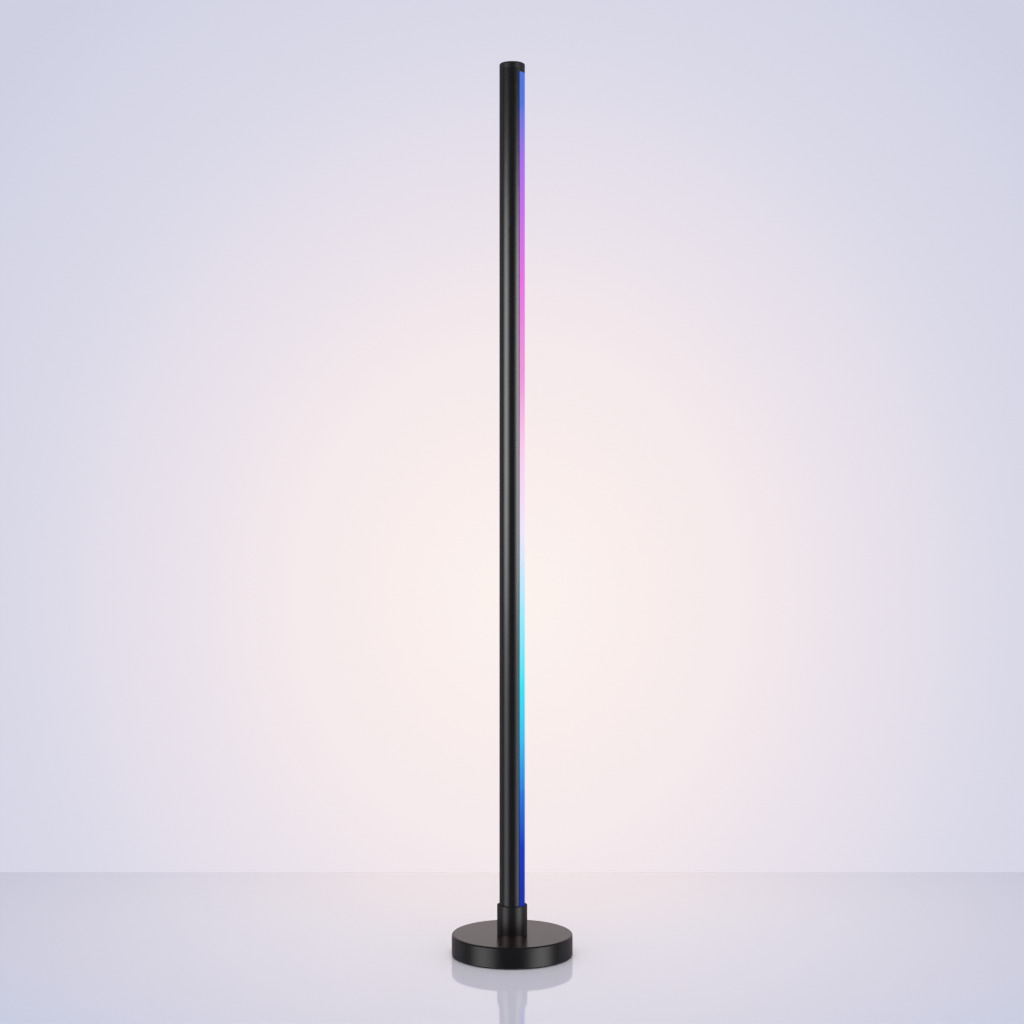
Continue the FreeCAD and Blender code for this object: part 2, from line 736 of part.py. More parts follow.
def pole_tube():
    """Extruded aluminium tube: slot for the diffuser, web for the strip, two screw ports."""
    body = new_body("pole_tube", POLE_FOOT)
    pad(body, ring(sketch(body), "pole_od", f"2 * {POLE_INNER}"), "pole_long")
    pocket(body, sector(sketch(body)), "pole_long", along=True)
    half = f"sqrt((pole_od / 2 - pole_wall / 2) ^ 2 - ({WEB_FACE} - web_wall / 2) ^ 2)"
    pad(body, rectangle(sketch(body), WEB_BACK, WEB_FACE, f"-{half}", half), "pole_long")
    pad(body, circle(circle(sketch(body), "port_od", PORT_X, PORT_Y), "port_od", PORT_X,
                     f"-{PORT_Y}"), "pole_long")
    bore = "screw_dia + 2 * thread_gap"
    pocket(body, circle(circle(sketch(body), bore, PORT_X, PORT_Y), bore, PORT_X,
                        f"-{PORT_Y}"), "pole_long", along=True)
    pocket(body, rectangle(sketch(body), f"{WEB_BACK} - join_gap", f"{WEB_FACE} + join_gap",
                           "-notch_wide / 2", "notch_wide / 2"), "notch_tall", along=True)


def diffuser():
    """Milky strip, round outside like the tube, with two hooked legs behind the slot's lips."""
    body = new_body("diffuser", POLE_FOOT)
    long = "pole_long - tab_long - join_gap"
    pad(body, ring(sketch(body), "pole_od", "pole_od - 2 * diffuser_wall"), long)
    pocket(body, sector(sketch(body), "join_gap / sin(slot_half)", front=False), long,
           along=True)
    reach = f"({POLE_INNER} - join_gap)"
    leg_out = f"({POLE_INNER} * sin(slot_half) - join_gap)"
    leg_in = f"({leg_out} - leg_wall)"
    foot = f"({WEB_FACE} + leg_foot)"
    head = f"sqrt((pole_od / 2 - diffuser_wall / 2) ^ 2 - ({leg_out} - leg_wall / 2) ^ 2)"
    hook = f"({foot} + hook_tall)"
    tip = f"sqrt({reach} ^ 2 - {hook} ^ 2)"
    shoulder = f"sqrt({reach} ^ 2 - {leg_out} ^ 2)"
    legs = sketch(body)
    for side in ("", "-"):
        outline(legs, [(foot, f"{side}{leg_in}"), (foot, f"{side}{tip}"),
                       (hook, f"{side}{tip}"), (shoulder, f"{side}{leg_out}"),
                       (head, f"{side}{leg_out}"), (head, f"{side}{leg_in}")])
    pad(body, legs, long)


def light_strip():
    """Flexible strip stuck to the web."""
    node(block(WEB_FACE, TAPE_FACE, "-tape_wide / 2", "tape_wide / 2", TAPE_FOOT,
               f"({TAPE_FOOT} + {CHIP_COUNT} * chip_pitch)"), "light_strip")


def light_chips():
    """Colour chips along the strip."""
    body = new_body("light_chips", f"{TAPE_FOOT} + chip_pitch / 2")
    half = "chip_side / 2"
    chip = pad(body, rectangle(sketch(body, "YZ_Plane", TAPE_FACE), f"-{half}", half,
                               f"-{half}", half), "chip_tall")
    row_of_chips = body.newObject("PartDesign::LinearPattern", "light_chips_row")
    row_of_chips.Originals = [chip]
    row_of_chips.Direction = (origin_part(body, "Z_Axis"), [""])
    bind(row_of_chips, Length=f"({CHIP_COUNT} - 1) * chip_pitch", Occurrences=CHIP_COUNT)
    body.Tip = row_of_chips


def prongs(drawing):
    """Two prongs that enter the tube behind the web, one each side of the lead."""
    for side in ("", "-"):
        rectangle(drawing, f"-{PRONG_BACK}", f"{WEB_BACK} - join_gap", f"{side}{PRONG_FROM}",
                  f"{side}{PRONG_TO}")
    return drawing


def top_cap():
    """Turned cap with a tab that closes the slot above the diffuser."""
    body = new_body("top_cap", POLE_HEAD)
    pad(body, ring(sketch(body), "pole_od", "pole_od - 2 * tab_wall"), "tab_long", back=True)
    pocket(body, sector(sketch(body), "join_gap / sin(slot_half)", front=False), "tab_long")
    pad(body, circle(sketch(body), "pole_od"), "cap_tall")
    pad(body, prongs(sketch(body)), "prong_long", back=True)
    soften(body, "Fillet", "cap_round", "pole_od / 2", "cap_tall")
    for y in (PORT_Y, f"-{PORT_Y}"):
        sunk_hole(body, PORT_X, y, "cap_tall", "cap_tall", upward=False)


def bottom_plug():
    """Turned plug that runs in the collar, with a groove for the grub screw."""
    body = new_body("bottom_plug", PLUG_FOOT)
    bore = "(socket_od / 2 + thread_gap)"
    way = "(lead_dia / 2 + join_gap)"
    low = "(groove_lift - groove_wide / 2)"
    high = "(groove_lift + groove_wide / 2)"
    tall = f"({POLE_FOOT} - {PLUG_FOOT})"
    roof = f"({tall} - plug_roof)"
    revolve(body, [(bore, "0"), (PLUG_RADIUS, "0"), (PLUG_RADIUS, low), (GROOVE_FLOOR, low),
                   (GROOVE_FLOOR, high), (PLUG_RADIUS, high), (PLUG_RADIUS, tall), (way, tall),
                   (way, roof), (bore, roof)])
    pad(body, prongs(sketch(body, offset=tall)), "prong_long")
    for y in (PORT_Y, f"-{PORT_Y}"):
        sunk_hole(body, PORT_X, y, "0", tall, upward=True)


def strip_lead():
    """Lead from the socket through the notch in the web to the strip's first pads."""
    front = f"({TAPE_FACE} + lead_dia / 2)"
    lead("strip_lead", [("0", "0", SOCKET_HEAD),
                        ("0", "0", f"{POLE_FOOT} + 2 * plug_roof"),
                        (front, "0", f"{TAPE_FOOT} - 2 * lead_dia"),
                        (front, "0", f"{TAPE_FOOT} + 3 * lead_dia")])


# ---------------------------------------------------------------- board, inlet and button

def control_board():
    board = block("-board_wide / 2", "board_wide / 2", BOARD_FRONT, BOARD_BACK, BOARD_FOOT,
                  BOARD_TOP)
    holes = [rod("board_screw_dia + 2 * join_gap", "board_thick", x, y, BOARD_FOOT)
             for x, y in BOARD_SPOTS]
    node(cut(board, *holes), "control_board")


def board_spacers():
    spacers = [cut(rod("spacer_od", "spacer_tall", x, y, PLATE_TOP),
                   rod("board_screw_dia + 2 * thread_gap", "spacer_tall", x, y, PLATE_TOP))
               for x, y in BOARD_SPOTS]
    node(group(*spacers), "board_spacers")


def board_screws():
    screws = [join(rod("board_screw_head", "board_screw_cap", x, y, BOARD_TOP),
                   rod("board_screw_dia", "board_screw", x, y, f"{BOARD_TOP} - board_screw"))
              for x, y in BOARD_SPOTS]
    node(group(*screws), "board_screws")


def board_header():
    """Plug-in header that the contact lead ends in."""
    front = f"({BOARD_FRONT} + header_inset)"
    node(block("-header_wide / 2", "header_wide / 2", front, f"({front} + header_deep)",
               BOARD_TOP, f"({BOARD_TOP} + header_tall)"), "board_header")


def board_components():
    """Driver chip behind the header, a capacitor can and a coil."""
    driver_front = f"({BOARD_FRONT} + header_inset + header_deep + join_gap)"
    driver = block("-driver_wide / 2", "driver_wide / 2", driver_front,
                   f"({driver_front} + driver_wide)", BOARD_TOP,
                   f"({BOARD_TOP} + driver_tall)")
    parts_front = f"({BOARD_FRONT} + 2 * spacer_inset)"
    can = rod("can_dia", "can_tall", "-button_turnout", f"{parts_front} + can_dia / 2",
              BOARD_TOP)
    coil = block("(inlet_turnout - coil_side / 2)", "(inlet_turnout + coil_side / 2)",
                 f"({BOARD_FRONT} + spacer_inset + board_screw_head / 2)",
                 f"({BOARD_FRONT} + spacer_inset + board_screw_head / 2 + coil_side)",
                 BOARD_TOP, f"({BOARD_TOP} + coil_tall)")
    node(group(driver, can, coil), "board_components")


def power_inlet():
    """Round power socket on the board, whose barrel shows in the bezel."""
    front = f"({BEZEL_BACK} - join_gap)"
    mouth = f"({BEZEL_FACE} - barrel_sink)"
    body = block("(inlet_turnout - inlet_wide / 2)", "(inlet_turnout + inlet_wide / 2)",
                 f"({BEZEL_BACK} - inlet_deep)", front, BOARD_TOP,
                 f"({BOARD_TOP} + inlet_tall)")
    barrel = rod("barrel_od", f"{mouth} - {front}", "inlet_turnout", front, INLET_Z,
                 to_back=True)
    bore = rod("barrel_bore", "inlet_reach", "inlet_turnout", f"{mouth} - inlet_reach", INLET_Z,
               to_back=True)
    node(cut(join(body, barrel), bore), "power_inlet")
    node(rod("inlet_pin", "inlet_reach - pin_short", "inlet_turnout",
             f"{mouth} - inlet_reach", INLET_Z, to_back=True), "inlet_pin")


def push_button():
    """Button with a dished face, kept in by a lip behind the bezel."""
    x = "-button_turnout"
    face = f"({BEZEL_FACE} + button_proud)"
    cap = rod("button_dia", f"{face} - {LIP_FRONT}", x, LIP_FRONT, INLET_Z, to_back=True)
    lip = rod("button_dia + 2 * button_lip", "lip_wall", x, BUTTON_BACK, INLET_Z, to_back=True)
    dish_radius = "(((button_dia / 2 - dish_rim) ^ 2 + button_dish ^ 2) / (2 * button_dish))"
    dish = doc.addObject("Part::Sphere", "dish")
    bind(dish, Radius=dish_radius, Placement__Base__x=x,
         Placement__Base__y=f"{face} + {dish_radius} - button_dish", Placement__Base__z=INLET_Z)
    node(cut(join(cap, lip), dish), "push_button")
    node(rod("plunger_dia", "button_travel + switch_stop + plunger_in", x,
             f"{SWITCH_FACE} - plunger_in", INLET_Z, to_back=True), "switch_plunger")


def push_switch():
    """Switch on the board, with a well that the plunger moves in."""
    body = block("(-button_turnout - switch_wide / 2)", "(-button_turnout + switch_wide / 2)",
                 f"({SWITCH_FACE} - switch_deep)", SWITCH_FACE, BOARD_TOP,
                 f"({BOARD_TOP} + switch_tall)")
    deep = "(plunger_in + button_travel + switch_stop)"
    well = rod("plunger_dia + 2 * join_gap", deep, "-button_turnout",
               f"{SWITCH_FACE} - {deep}", INLET_Z, to_back=True)
    node(cut(body, well), "push_switch")


foot_ring()
base_plate()
plate_screws()
base_weight()
base_cover()
rear_bezel()
collar()
grub_screw()
threaded_nipple()
lock_washer()
nipple_nut()
thrust_washer()
friction_ring()
contact_holder()
contact_pin()
contact_bands()
contact_socket()
contact_lead()
pole_tube()
diffuser()
light_strip()
light_chips()
top_cap()
port_screws("cap_screws", f"{POLE_HEAD} + cap_tall - head_sink", "cap_screw", upward=False)
bottom_plug()
port_screws("plug_screws", f"{PLUG_FOOT} + head_sink", "plug_screw", upward=True)
strip_lead()
control_board()
board_spacers()
board_screws()
board_header()
board_components()
power_inlet()
push_button()
push_switch()

doc.recompute()
for thing in doc.Objects:
    if "Invalid" in thing.State or "Error" in thing.State:
        raise RuntimeError(f"{thing.Label} failed: {thing.State}")
for part in parts:
    if part.Shape.isNull() or not part.Shape.isValid():
        raise RuntimeError(f"{part.Label} has no valid shape")

os.makedirs("parts", exist_ok=True)
for part in parts:
    part.Shape.exportStep(os.path.join("parts", f"{part.Label}.step"))
    print(f"{part.Label}: {len(part.Shape.Solids)} solids, {part.Shape.Volume:.1f} mm3")
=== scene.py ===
import math

import bmesh
import bpy
from mathutils import Matrix, Vector


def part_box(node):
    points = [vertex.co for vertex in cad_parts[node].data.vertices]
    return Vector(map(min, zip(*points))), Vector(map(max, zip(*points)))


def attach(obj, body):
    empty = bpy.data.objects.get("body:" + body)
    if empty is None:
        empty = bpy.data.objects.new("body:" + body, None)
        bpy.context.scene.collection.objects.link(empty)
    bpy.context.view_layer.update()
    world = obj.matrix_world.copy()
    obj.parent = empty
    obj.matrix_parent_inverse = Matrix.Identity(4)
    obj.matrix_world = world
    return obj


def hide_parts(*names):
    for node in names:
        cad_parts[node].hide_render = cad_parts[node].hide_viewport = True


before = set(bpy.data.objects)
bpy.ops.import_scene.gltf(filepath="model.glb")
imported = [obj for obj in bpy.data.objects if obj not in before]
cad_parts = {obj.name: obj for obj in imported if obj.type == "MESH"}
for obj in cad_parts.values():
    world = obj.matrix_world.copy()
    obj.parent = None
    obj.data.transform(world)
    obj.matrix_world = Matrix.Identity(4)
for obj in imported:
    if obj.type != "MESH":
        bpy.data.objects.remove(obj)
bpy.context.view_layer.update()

# ---- Camera --------------------------------------------------------------------------------
# Level, at half the lamp's height and two metres away, on a lens that is long enough to keep
# the pole straight.
camera = bpy.data.objects.new("camera", bpy.data.cameras.new("camera"))
bpy.context.scene.collection.objects.link(camera)
camera.location = (-0.0002, -2.065, 0.5216)
camera.rotation_euler = (math.radians(90), 0, 0)
camera.data.lens = 61.56
camera.data.sensor_width = 36
bpy.context.scene.camera = camera
bpy.context.scene.view_settings.view_transform = "Standard"


# ---- Backdrop ------------------------------------------------------------------------------
# A pale studio wall half a metre behind the lamp, with a warm pool of light on it.  It is
# painted as it should look, and is clear from behind, so the lamp can be seen from there.
def tint(code):
    """Linear colour with alpha from a code such as "F0E4E6"."""
    parts = [int(code[at:at + 2], 16) / 255 for at in (0, 2, 4)]
    return [p / 12.92 if p <= 0.04045 else ((p + 0.055) / 1.055) ** 2.4 for p in parts] + [1]


def place(tree, kind, settings=None, **sockets):
    """A new node.  A socket is named by its words, or by _0, _1 and so on for its number."""
    made = tree.nodes.new(kind)
    for name, value in (settings or {}).items():
        setattr(made, name, value)
    for name, value in sockets.items():
        socket = made.inputs[int(name[1:]) if name[0] == "_" else name.replace("_", " ")]
        if isinstance(value, bpy.types.NodeSocket):
            tree.links.new(value, socket)
        else:
            socket.default_value = value
    return made


def coordinates(tree, kind="Object"):
    """Where a point lies in the piece's own frame, or which way its surface faces."""
    return place(tree, "ShaderNodeTexCoord").outputs[kind]


def distance(tree, vector):
    """How far a point lies from the middle of its frame."""
    return place(tree, "ShaderNodeVectorMath", {"operation": "LENGTH"},
                 _0=vector).outputs["Value"]


def maths(tree, operation, *values):
    """The result of one operation on numbers or sockets."""
    return place(tree, "ShaderNodeMath", {"operation": operation},
                 **{f"_{number}": value for number, value in enumerate(values)}).outputs[0]


def ramp(tree, value, stops):
    """A colour that follows value through the stops, which are (position, colour code)."""
    made = place(tree, "ShaderNodeValToRGB", Fac=value)
    while len(made.color_ramp.elements) < len(stops):
        made.color_ramp.elements.new(1)
    for element, (position, code) in zip(made.color_ramp.elements, stops):
        element.position = position
        element.color = tint(code)
    return made.outputs["Color"]


def seen_directly(tree):
    """1 for a ray from the camera, a mirror or a clear piece, and 0 for the rest."""
    path = place(tree, "ShaderNodeLightPath").outputs
    either = maths(tree, "MAXIMUM", path["Is Camera Ray"], path["Is Glossy Ray"])
    return maths(tree, "MAXIMUM", either, path["Is Transmission Ray"])


def sheet(name, corners, material):
    """A flat stage piece with these corners, in metres."""
    mesh = bpy.data.meshes.new(name)
    mesh.from_pydata(corners, [], [range(len(corners))])
    mesh.materials.append(material)
    flat = bpy.data.objects.new(name, mesh)
    bpy.context.scene.collection.objects.link(flat)
    return flat


wall_y = 0.47
wall_reach = 4
glow_centre = (0.008, wall_y, 0.40)
glow_squash = 0.88
wall_paint = bpy.data.materials.new("wall_paint")
wall_paint.use_nodes = True
tree = wall_paint.node_tree
tree.nodes.remove(tree.nodes["Principled BSDF"])
centred = place(tree, "ShaderNodeMapping", Vector=coordinates(tree),
                Location=(-glow_centre[0], -glow_centre[1], -glow_centre[2] * glow_squash),
                Scale=(1, 1, glow_squash))
wall_tone = ramp(tree, distance(tree, centred.outputs[0]), [
    (0.00, "FCF2EE"), (0.16, "F9EEEC"), (0.32, "F5EAEC"), (0.52, "E8E1EB"), (0.72, "DAD9E8"),
    (1.00, "CFD1E3")])
lit = place(tree, "ShaderNodeEmission", Color=wall_tone, Strength=1.0)
chalk = place(tree, "ShaderNodeBsdfDiffuse", Color=wall_tone)
front = place(tree, "ShaderNodeMixShader", Fac=seen_directly(tree), _1=chalk.outputs[0],
              _2=lit.outputs[0])
clear = place(tree, "ShaderNodeBsdfTransparent")
behind = place(tree, "ShaderNodeNewGeometry").outputs["Backfacing"]
both = place(tree, "ShaderNodeMixShader", Fac=behind, _1=front.outputs[0],
             _2=clear.outputs[0])
tree.links.new(both.outputs[0], tree.nodes["Material Output"].inputs["Surface"])
sheet("backdrop", [(-wall_reach, wall_y, 0), (wall_reach, wall_y, 0),
                   (wall_reach, wall_y, wall_reach), (-wall_reach, wall_y, wall_reach)],
      wall_paint)


# ---- Floor ---------------------------------------------------------------------------------
# A polished pale sheet under the lamp.  It takes the lamp's shadow, and gives the faint
# mirror image of the base and of the foot of the pole.
def noise(tree, spot, scale, detail, rough=0.5):
    """A cloudy pattern from 0 to 1, with scale clouds to the metre."""
    return place(tree, "ShaderNodeTexNoise", Vector=spot, Scale=scale, Detail=detail,
                 Roughness=rough).outputs[0]


floor_reach = 6
floor_painted_glow_x = 0.02
floor_sheen = bpy.data.materials.new("floor_sheen")
floor_sheen.use_nodes = True
tree = floor_sheen.node_tree
shader = tree.nodes["Principled BSDF"]
spot = coordinates(tree)
# Painted light: the floor is coloured warm and pale by the wall, cooler and darker further
# out.
from_wall = place(tree, "ShaderNodeMapping", Vector=spot, Location=(-floor_painted_glow_x, -wall_y, 0))
tree.links.new(ramp(tree, distance(tree, from_wall.outputs[0]), [
    (0.00, "F8F0EE"), (0.20, "F5EDEC"), (0.47, "E5E3E9"), (0.73, "DAD9E3"),
    (1.00, "C9D2E4")]), shader.inputs["Base Color"])
soft = place(tree, "ShaderNodeMapRange", Value=noise(tree, spot, 3, 2), To_Min=0.04,
             To_Max=0.07)
tree.links.new(soft.outputs[0], shader.inputs["Roughness"])
shader.inputs["IOR"].default_value = 1.62
floor = sheet("floor", [(-floor_reach, -floor_reach, 0), (floor_reach, -floor_reach, 0),
                        (floor_reach, floor_reach, 0), (-floor_reach, floor_reach, 0)],
              floor_sheen)


# ---- Lamps ---------------------------------------------------------------------------------
# Two tall soft boxes beside the camera, with dim skirts that reach below the floor, draw the
# long highlights on the pole.  The floor neither shows nor stops them, and the base cover
# takes only the skirts.  A large box overhead lights the floor.
def eased(tree, value, low, high, start=0.0, end=1.0):
    """Goes gently from start to end as value rises from low to high."""
    return place(tree, "ShaderNodeMapRange", {"interpolation_type": "SMOOTHSTEP"},
                 Value=value, From_Min=low, From_Max=high, To_Min=start,
                 To_Max=end).outputs[0]


def mixed(tree, share, first, second, way="MIX"):
    """A colour that goes from first to second as share rises from 0 to 1."""
    return place(tree, "ShaderNodeMix", {"data_type": "RGBA", "blend_type": way}, _0=share,
                 _6=first, _7=second).outputs[2]


def soft_box(name, spot, aim, wide, tall, glow):
    """An area lamp that fades to its sides.  Its glow is how bright its face looks, where 1
    is white."""
    data = bpy.data.lights.new(name, "AREA")
    data.shape = "RECTANGLE"
    data.size = wide
    data.size_y = tall
    data.energy = glow * math.pi * wide * tall
    data.use_nodes = True
    tree = data.node_tree
    across = place(tree, "ShaderNodeSeparateXYZ",
                   Vector=place(tree, "ShaderNodeNewGeometry").outputs["Parametric"])
    from_side = maths(tree, "PINGPONG", across.outputs["X"], 0.5)
    tree.links.new(eased(tree, from_side, 0, 0.5), tree.nodes["Emission"].inputs["Strength"])
    lamp = bpy.data.objects.new(name, data)
    lamp.location = spot
    lamp.rotation_euler = (Vector(aim) - Vector(spot)).to_track_quat("-Z", "Y").to_euler()
    bpy.context.scene.collection.objects.link(lamp)
    return lamp


def set_apart(name, *pieces):
    """A collection of the pieces that a lamp leaves out."""
    made = bpy.data.collections.new(name)
    for number, piece in enumerate(pieces):
        made.objects.link(piece)
        made.collection_objects[number].light_linking.link_state = "EXCLUDE"
    return made


floor_apart = set_apart("floor_apart", floor)
base_apart = set_apart("base_apart", floor, bpy.data.objects["base_cover"])
box_away = 1.5
box_wide = 2.0
skirt_low, box_low, box_high = -1.0, 0.34, 1.16
skirt_share = 0.26
for side, bearing, glow in (("left", -54.5, 23), ("right", 54.5, 28)):
    x = box_away * math.sin(math.radians(bearing))
    y = -box_away * math.cos(math.radians(bearing))
    for part, low, high, share, apart in (
            ("box", box_low, box_high, 1, base_apart),
            ("skirt", skirt_low, box_low, skirt_share, floor_apart)):
        z = (low + high) / 2
        box = soft_box(f"{side}_{part}", spot=(x, y, z), aim=(0, 0, z), wide=box_wide,
                       tall=high - low, glow=glow * share)
        box.visible_camera = False
        box.visible_diffuse = False
        box.light_linking.receiver_collection = apart
        box.light_linking.blocker_collection = floor_apart
top_box = soft_box("top_box", spot=(0, -0.25, 2.3), aim=(0, 0, 0), wide=2.4, tall=2.0,
                   glow=3.8)
top_box.visible_camera = False
top_box.visible_glossy = False

air_light = "C0C0C4"
air_shown = "C8C9DA"
air = bpy.data.worlds.new("pale_air")
air.use_nodes = True
bpy.context.scene.world = air
tree = air.node_tree
tree.links.new(mixed(tree, seen_directly(tree), tint(air_light), tint(air_shown)),
               tree.nodes["Background"].inputs["Color"])


# ---- Foot ring -----------------------------------------------------------------------------
# A ring of black closed-cell foam, punched from sheet and stuck under the base plate.
# It keeps the steel off the floor.
def finish(name, code, roughness, metallic=0.0, sheen_level=0.5):
    """A new material whose even numbers sit on the shader's own sockets."""
    made = bpy.data.materials.new(name)
    made.use_nodes = True
    shader = made.node_tree.nodes["Principled BSDF"]
    shader.inputs["Base Color"].default_value = tint(code)
    shader.inputs["Roughness"].default_value = roughness
    shader.inputs["Metallic"].default_value = metallic
    shader.inputs["Specular IOR Level"].default_value = sheen_level
    made.diffuse_color = tint(code)
    return made, made.node_tree, shader


def relief(tree, shader, height, depth):
    """Turns a height from 0 to 1 into bumps of this depth, in metres."""
    bump = place(tree, "ShaderNodeBump", Height=height, Distance=depth)
    tree.links.new(bump.outputs[0], shader.inputs["Normal"])


def dress(node, material):
    """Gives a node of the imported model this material."""
    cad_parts[node].material_slots[0].material = material


cells_per_metre = 1800
cell_depth = 0.0002
foam, tree, shader = finish("foam_black", "1B1B1C", 0.92)
cells = place(tree, "ShaderNodeTexVoronoi", Vector=coordinates(tree), Scale=cells_per_metre)
# Each cell is painted darker in its pit and lighter on its rim, as painted shade.
tree.links.new(ramp(tree, cells.outputs["Distance"], [(0, "0B0B0C"), (0.5, "1D1D1E"),
                                                      (1, "2A2A2B")]),
               shader.inputs["Base Color"])
relief(tree, shader, cells.outputs["Distance"], cell_depth)
dress("foot_ring", foam)


# ---- Base plate ----------------------------------------------------------------------------
# A blanked steel disc that closes the base from below, dip-coated matt black.
# Four countersunk screws draw it up against the weight.
def group(name, inputs, outputs):
    """An empty shader group with these number inputs and these outputs."""
    made = bpy.data.node_groups.new(name, "ShaderNodeTree")
    for word, number in inputs.items():
        kind = "NodeSocketVector" if isinstance(number, tuple) else "NodeSocketFloat"
        made.interface.new_socket(word, in_out="INPUT", socket_type=kind).default_value = \
            number
    for word in outputs:
        made.interface.new_socket(word, in_out="OUTPUT", socket_type="NodeSocketFloat")
    return made, made.nodes.new("NodeGroupInput").outputs, \
        made.nodes.new("NodeGroupOutput").inputs


# Pitted skin: the small dimples of a sprayed or moulded surface, and gloss that drifts.
skin, given, result = group("pitted_skin", {"Pits per metre": 2500.0, "Drift per metre": 30.0,
                                            "Gloss floor": 0.4, "Gloss spread": 0.1},
                            ("Height", "Roughness"))
spot = coordinates(skin)
skin.links.new(noise(skin, spot, given["Pits per metre"], 3, 0.6), result["Height"])
drift = noise(skin, spot, given["Drift per metre"], 4)
skin.links.new(maths(skin, "MULTIPLY_ADD", drift, given["Gloss spread"], given["Gloss floor"]),
               result["Roughness"])


def toned(code, share):
    """The colour of a code, darkened or lightened to this share."""
    return [share * part for part in tint(code)[:3]] + [1]


def skinned(name, code, pits, gloss, spread, depth, drift=30, sheen_level=0.5):
    """A material with the pitted skin: pits to the metre, their depth in metres, and a
    roughness that goes from gloss to gloss + spread."""
    made, tree, shader = finish(name, code, gloss, sheen_level=sheen_level)
    grain = place(tree, "ShaderNodeGroup", {"node_tree": skin}, Pits_per_metre=pits,
                  Drift_per_metre=drift, Gloss_floor=gloss, Gloss_spread=spread)
    tree.links.new(grain.outputs["Roughness"], shader.inputs["Roughness"])
    relief(tree, shader, grain.outputs["Height"], depth)
    mottle = noise(tree, coordinates(tree), drift * 2, 3)
    tree.links.new(mixed(tree, mottle, toned(code, 0.86), toned(code, 1.14)),
                   shader.inputs["Base Color"])
    return made


dress("base_plate", skinned("plate_black", "1D1E20", 2200, 0.42, 0.16, 0.00006))


# ---- Plate screws --------------------------------------------------------------------------
# Four M3 countersunk screws with a hexagon socket, cold-formed and blackened.
# They stand in a ring about the axis, heads down, a hair below the face of the plate.
def turned(name, outline, steps=64):
    """A closed mesh turned about Z from an outline of (radius, height) in millimetres."""
    mesh = bpy.data.meshes.new(name)
    points = [(r * math.cos(2 * math.pi * k / steps) / 1000,
               r * math.sin(2 * math.pi * k / steps) / 1000, z / 1000)
              for k in range(steps) for r, z in outline]
    count = len(outline)
    faces = [(k * count + i, (k + 1) % steps * count + i,
              (k + 1) % steps * count + (i + 1) % count, k * count + (i + 1) % count)
             for k in range(steps) for i in range(count)]
    mesh.from_pydata(points, [], faces)
    tidy(mesh)
    return mesh


def tidy(mesh):
    """Merges what lies together, drops what has no area and turns the faces outwards."""
    work = bmesh.new()
    work.from_mesh(mesh)
    bmesh.ops.remove_doubles(work, verts=work.verts, dist=1e-7)
    bmesh.ops.dissolve_degenerate(work, edges=work.edges, dist=1e-8)
    bmesh.ops.recalc_face_normals(work, faces=work.faces)
    work.to_mesh(mesh)
    work.free()


def prism(name, outline, low, high):
    """A closed mesh that rises from low to high over an outline of (x, y), millimetres."""
    count = len(outline)
    points = [(x / 1000, y / 1000, z / 1000) for z in (low, high) for x, y in outline]
    faces = [range(count), range(count, 2 * count)]
    faces += [(k, (k + 1) % count, (k + 1) % count + count, k + count) for k in range(count)]
    mesh = bpy.data.meshes.new(name)
    mesh.from_pydata(points, [], faces)
    tidy(mesh)
    return mesh


def arc(x, y, radius, start, end, steps):
    """Points of an arc, with its ends given in degrees."""
    angles = [math.radians(start + (end - start) * k / steps) for k in range(steps + 1)]
    return [(x + radius * math.cos(a), y + radius * math.sin(a)) for a in angles]


def carve(mesh, tool):
    """The mesh with the tool's space taken out of it."""
    held = [bpy.data.objects.new(part.name, part) for part in (mesh, tool)]
    for one in held:
        bpy.context.scene.collection.objects.link(one)
    change = held[0].modifiers.new("carve", "BOOLEAN")
    change.object = held[1]
    change.solver = "EXACT"
    plain = bpy.data.meshes.new_from_object(
        held[0].evaluated_get(bpy.context.evaluated_depsgraph_get()))
    for one in held:
        bpy.data.objects.remove(one)
    return plain


def thread(root, crest, low, high, pitch):
    """Outline of a ridged shank from high down to low."""
    ridges = []
    for k in range(int((high - low) / pitch)):
        top = high - k * pitch
        ridges += [(crest, top - 0.35 * pitch), (crest, top - 0.5 * pitch),
                   (root, top - 0.85 * pitch), (root, top - pitch)]
    return ridges


def sunk_screw(name, long):
    """A countersunk M3 screw with its head's face at z = 0 and its shank below."""
    head, crest, root, key = 2.78, 1.5, 1.28, 1.155
    shape = turned(name, [(0, -0.02), (2.62, -0.02), (head, -0.1), (head, -0.2),
                          (crest, -1.42)]
                   + thread(root, crest, low=0.4 - long, high=-1.6, pitch=0.5)
                   + [(root, 0.35 - long), (0.9, -long), (0, -long)], 48)
    socket = prism("socket", arc(0, 0, key, 30, 330, 5), low=-1.0, high=1)
    return carve(shape, socket)


def node_tree(name, inputs):
    """An empty geometry tree that has a geometry in and out, and these named inputs."""
    made = bpy.data.node_groups.new(name, "GeometryNodeTree")
    kinds = {int: "NodeSocketInt", float: "NodeSocketFloat", tuple: "NodeSocketVector",
             type(None): "NodeSocketMaterial"}
    made.interface.new_socket("Geometry", in_out="INPUT", socket_type="NodeSocketGeometry")
    made.interface.new_socket("Geometry", in_out="OUTPUT", socket_type="NodeSocketGeometry")
    for word, start in inputs.items():
        socket = made.interface.new_socket(word, in_out="INPUT",
                                           socket_type=kinds[type(start)])
        if start is not None:
            socket.default_value = start
    return made, made.nodes.new("NodeGroupInput").outputs, made.nodes.new("NodeGroupOutput")


def close_tree(tree, shape, given, leaving):
    """Ends a geometry tree: copies become plain faces and take the named material."""
    solid = place(tree, "GeometryNodeRealizeInstances", Geometry=shape)
    coated = place(tree, "GeometryNodeSetMaterial", Geometry=solid.outputs[0],
                   Material=given["Material"])
    tree.links.new(coated.outputs[0], leaving.inputs[0])


def smooth(mesh):
    """Smooth shading, with an edge wherever the surface turns by more than 30 degrees."""
    mesh.shade_smooth()
    mesh.set_sharp_from_angle(angle=math.radians(30))


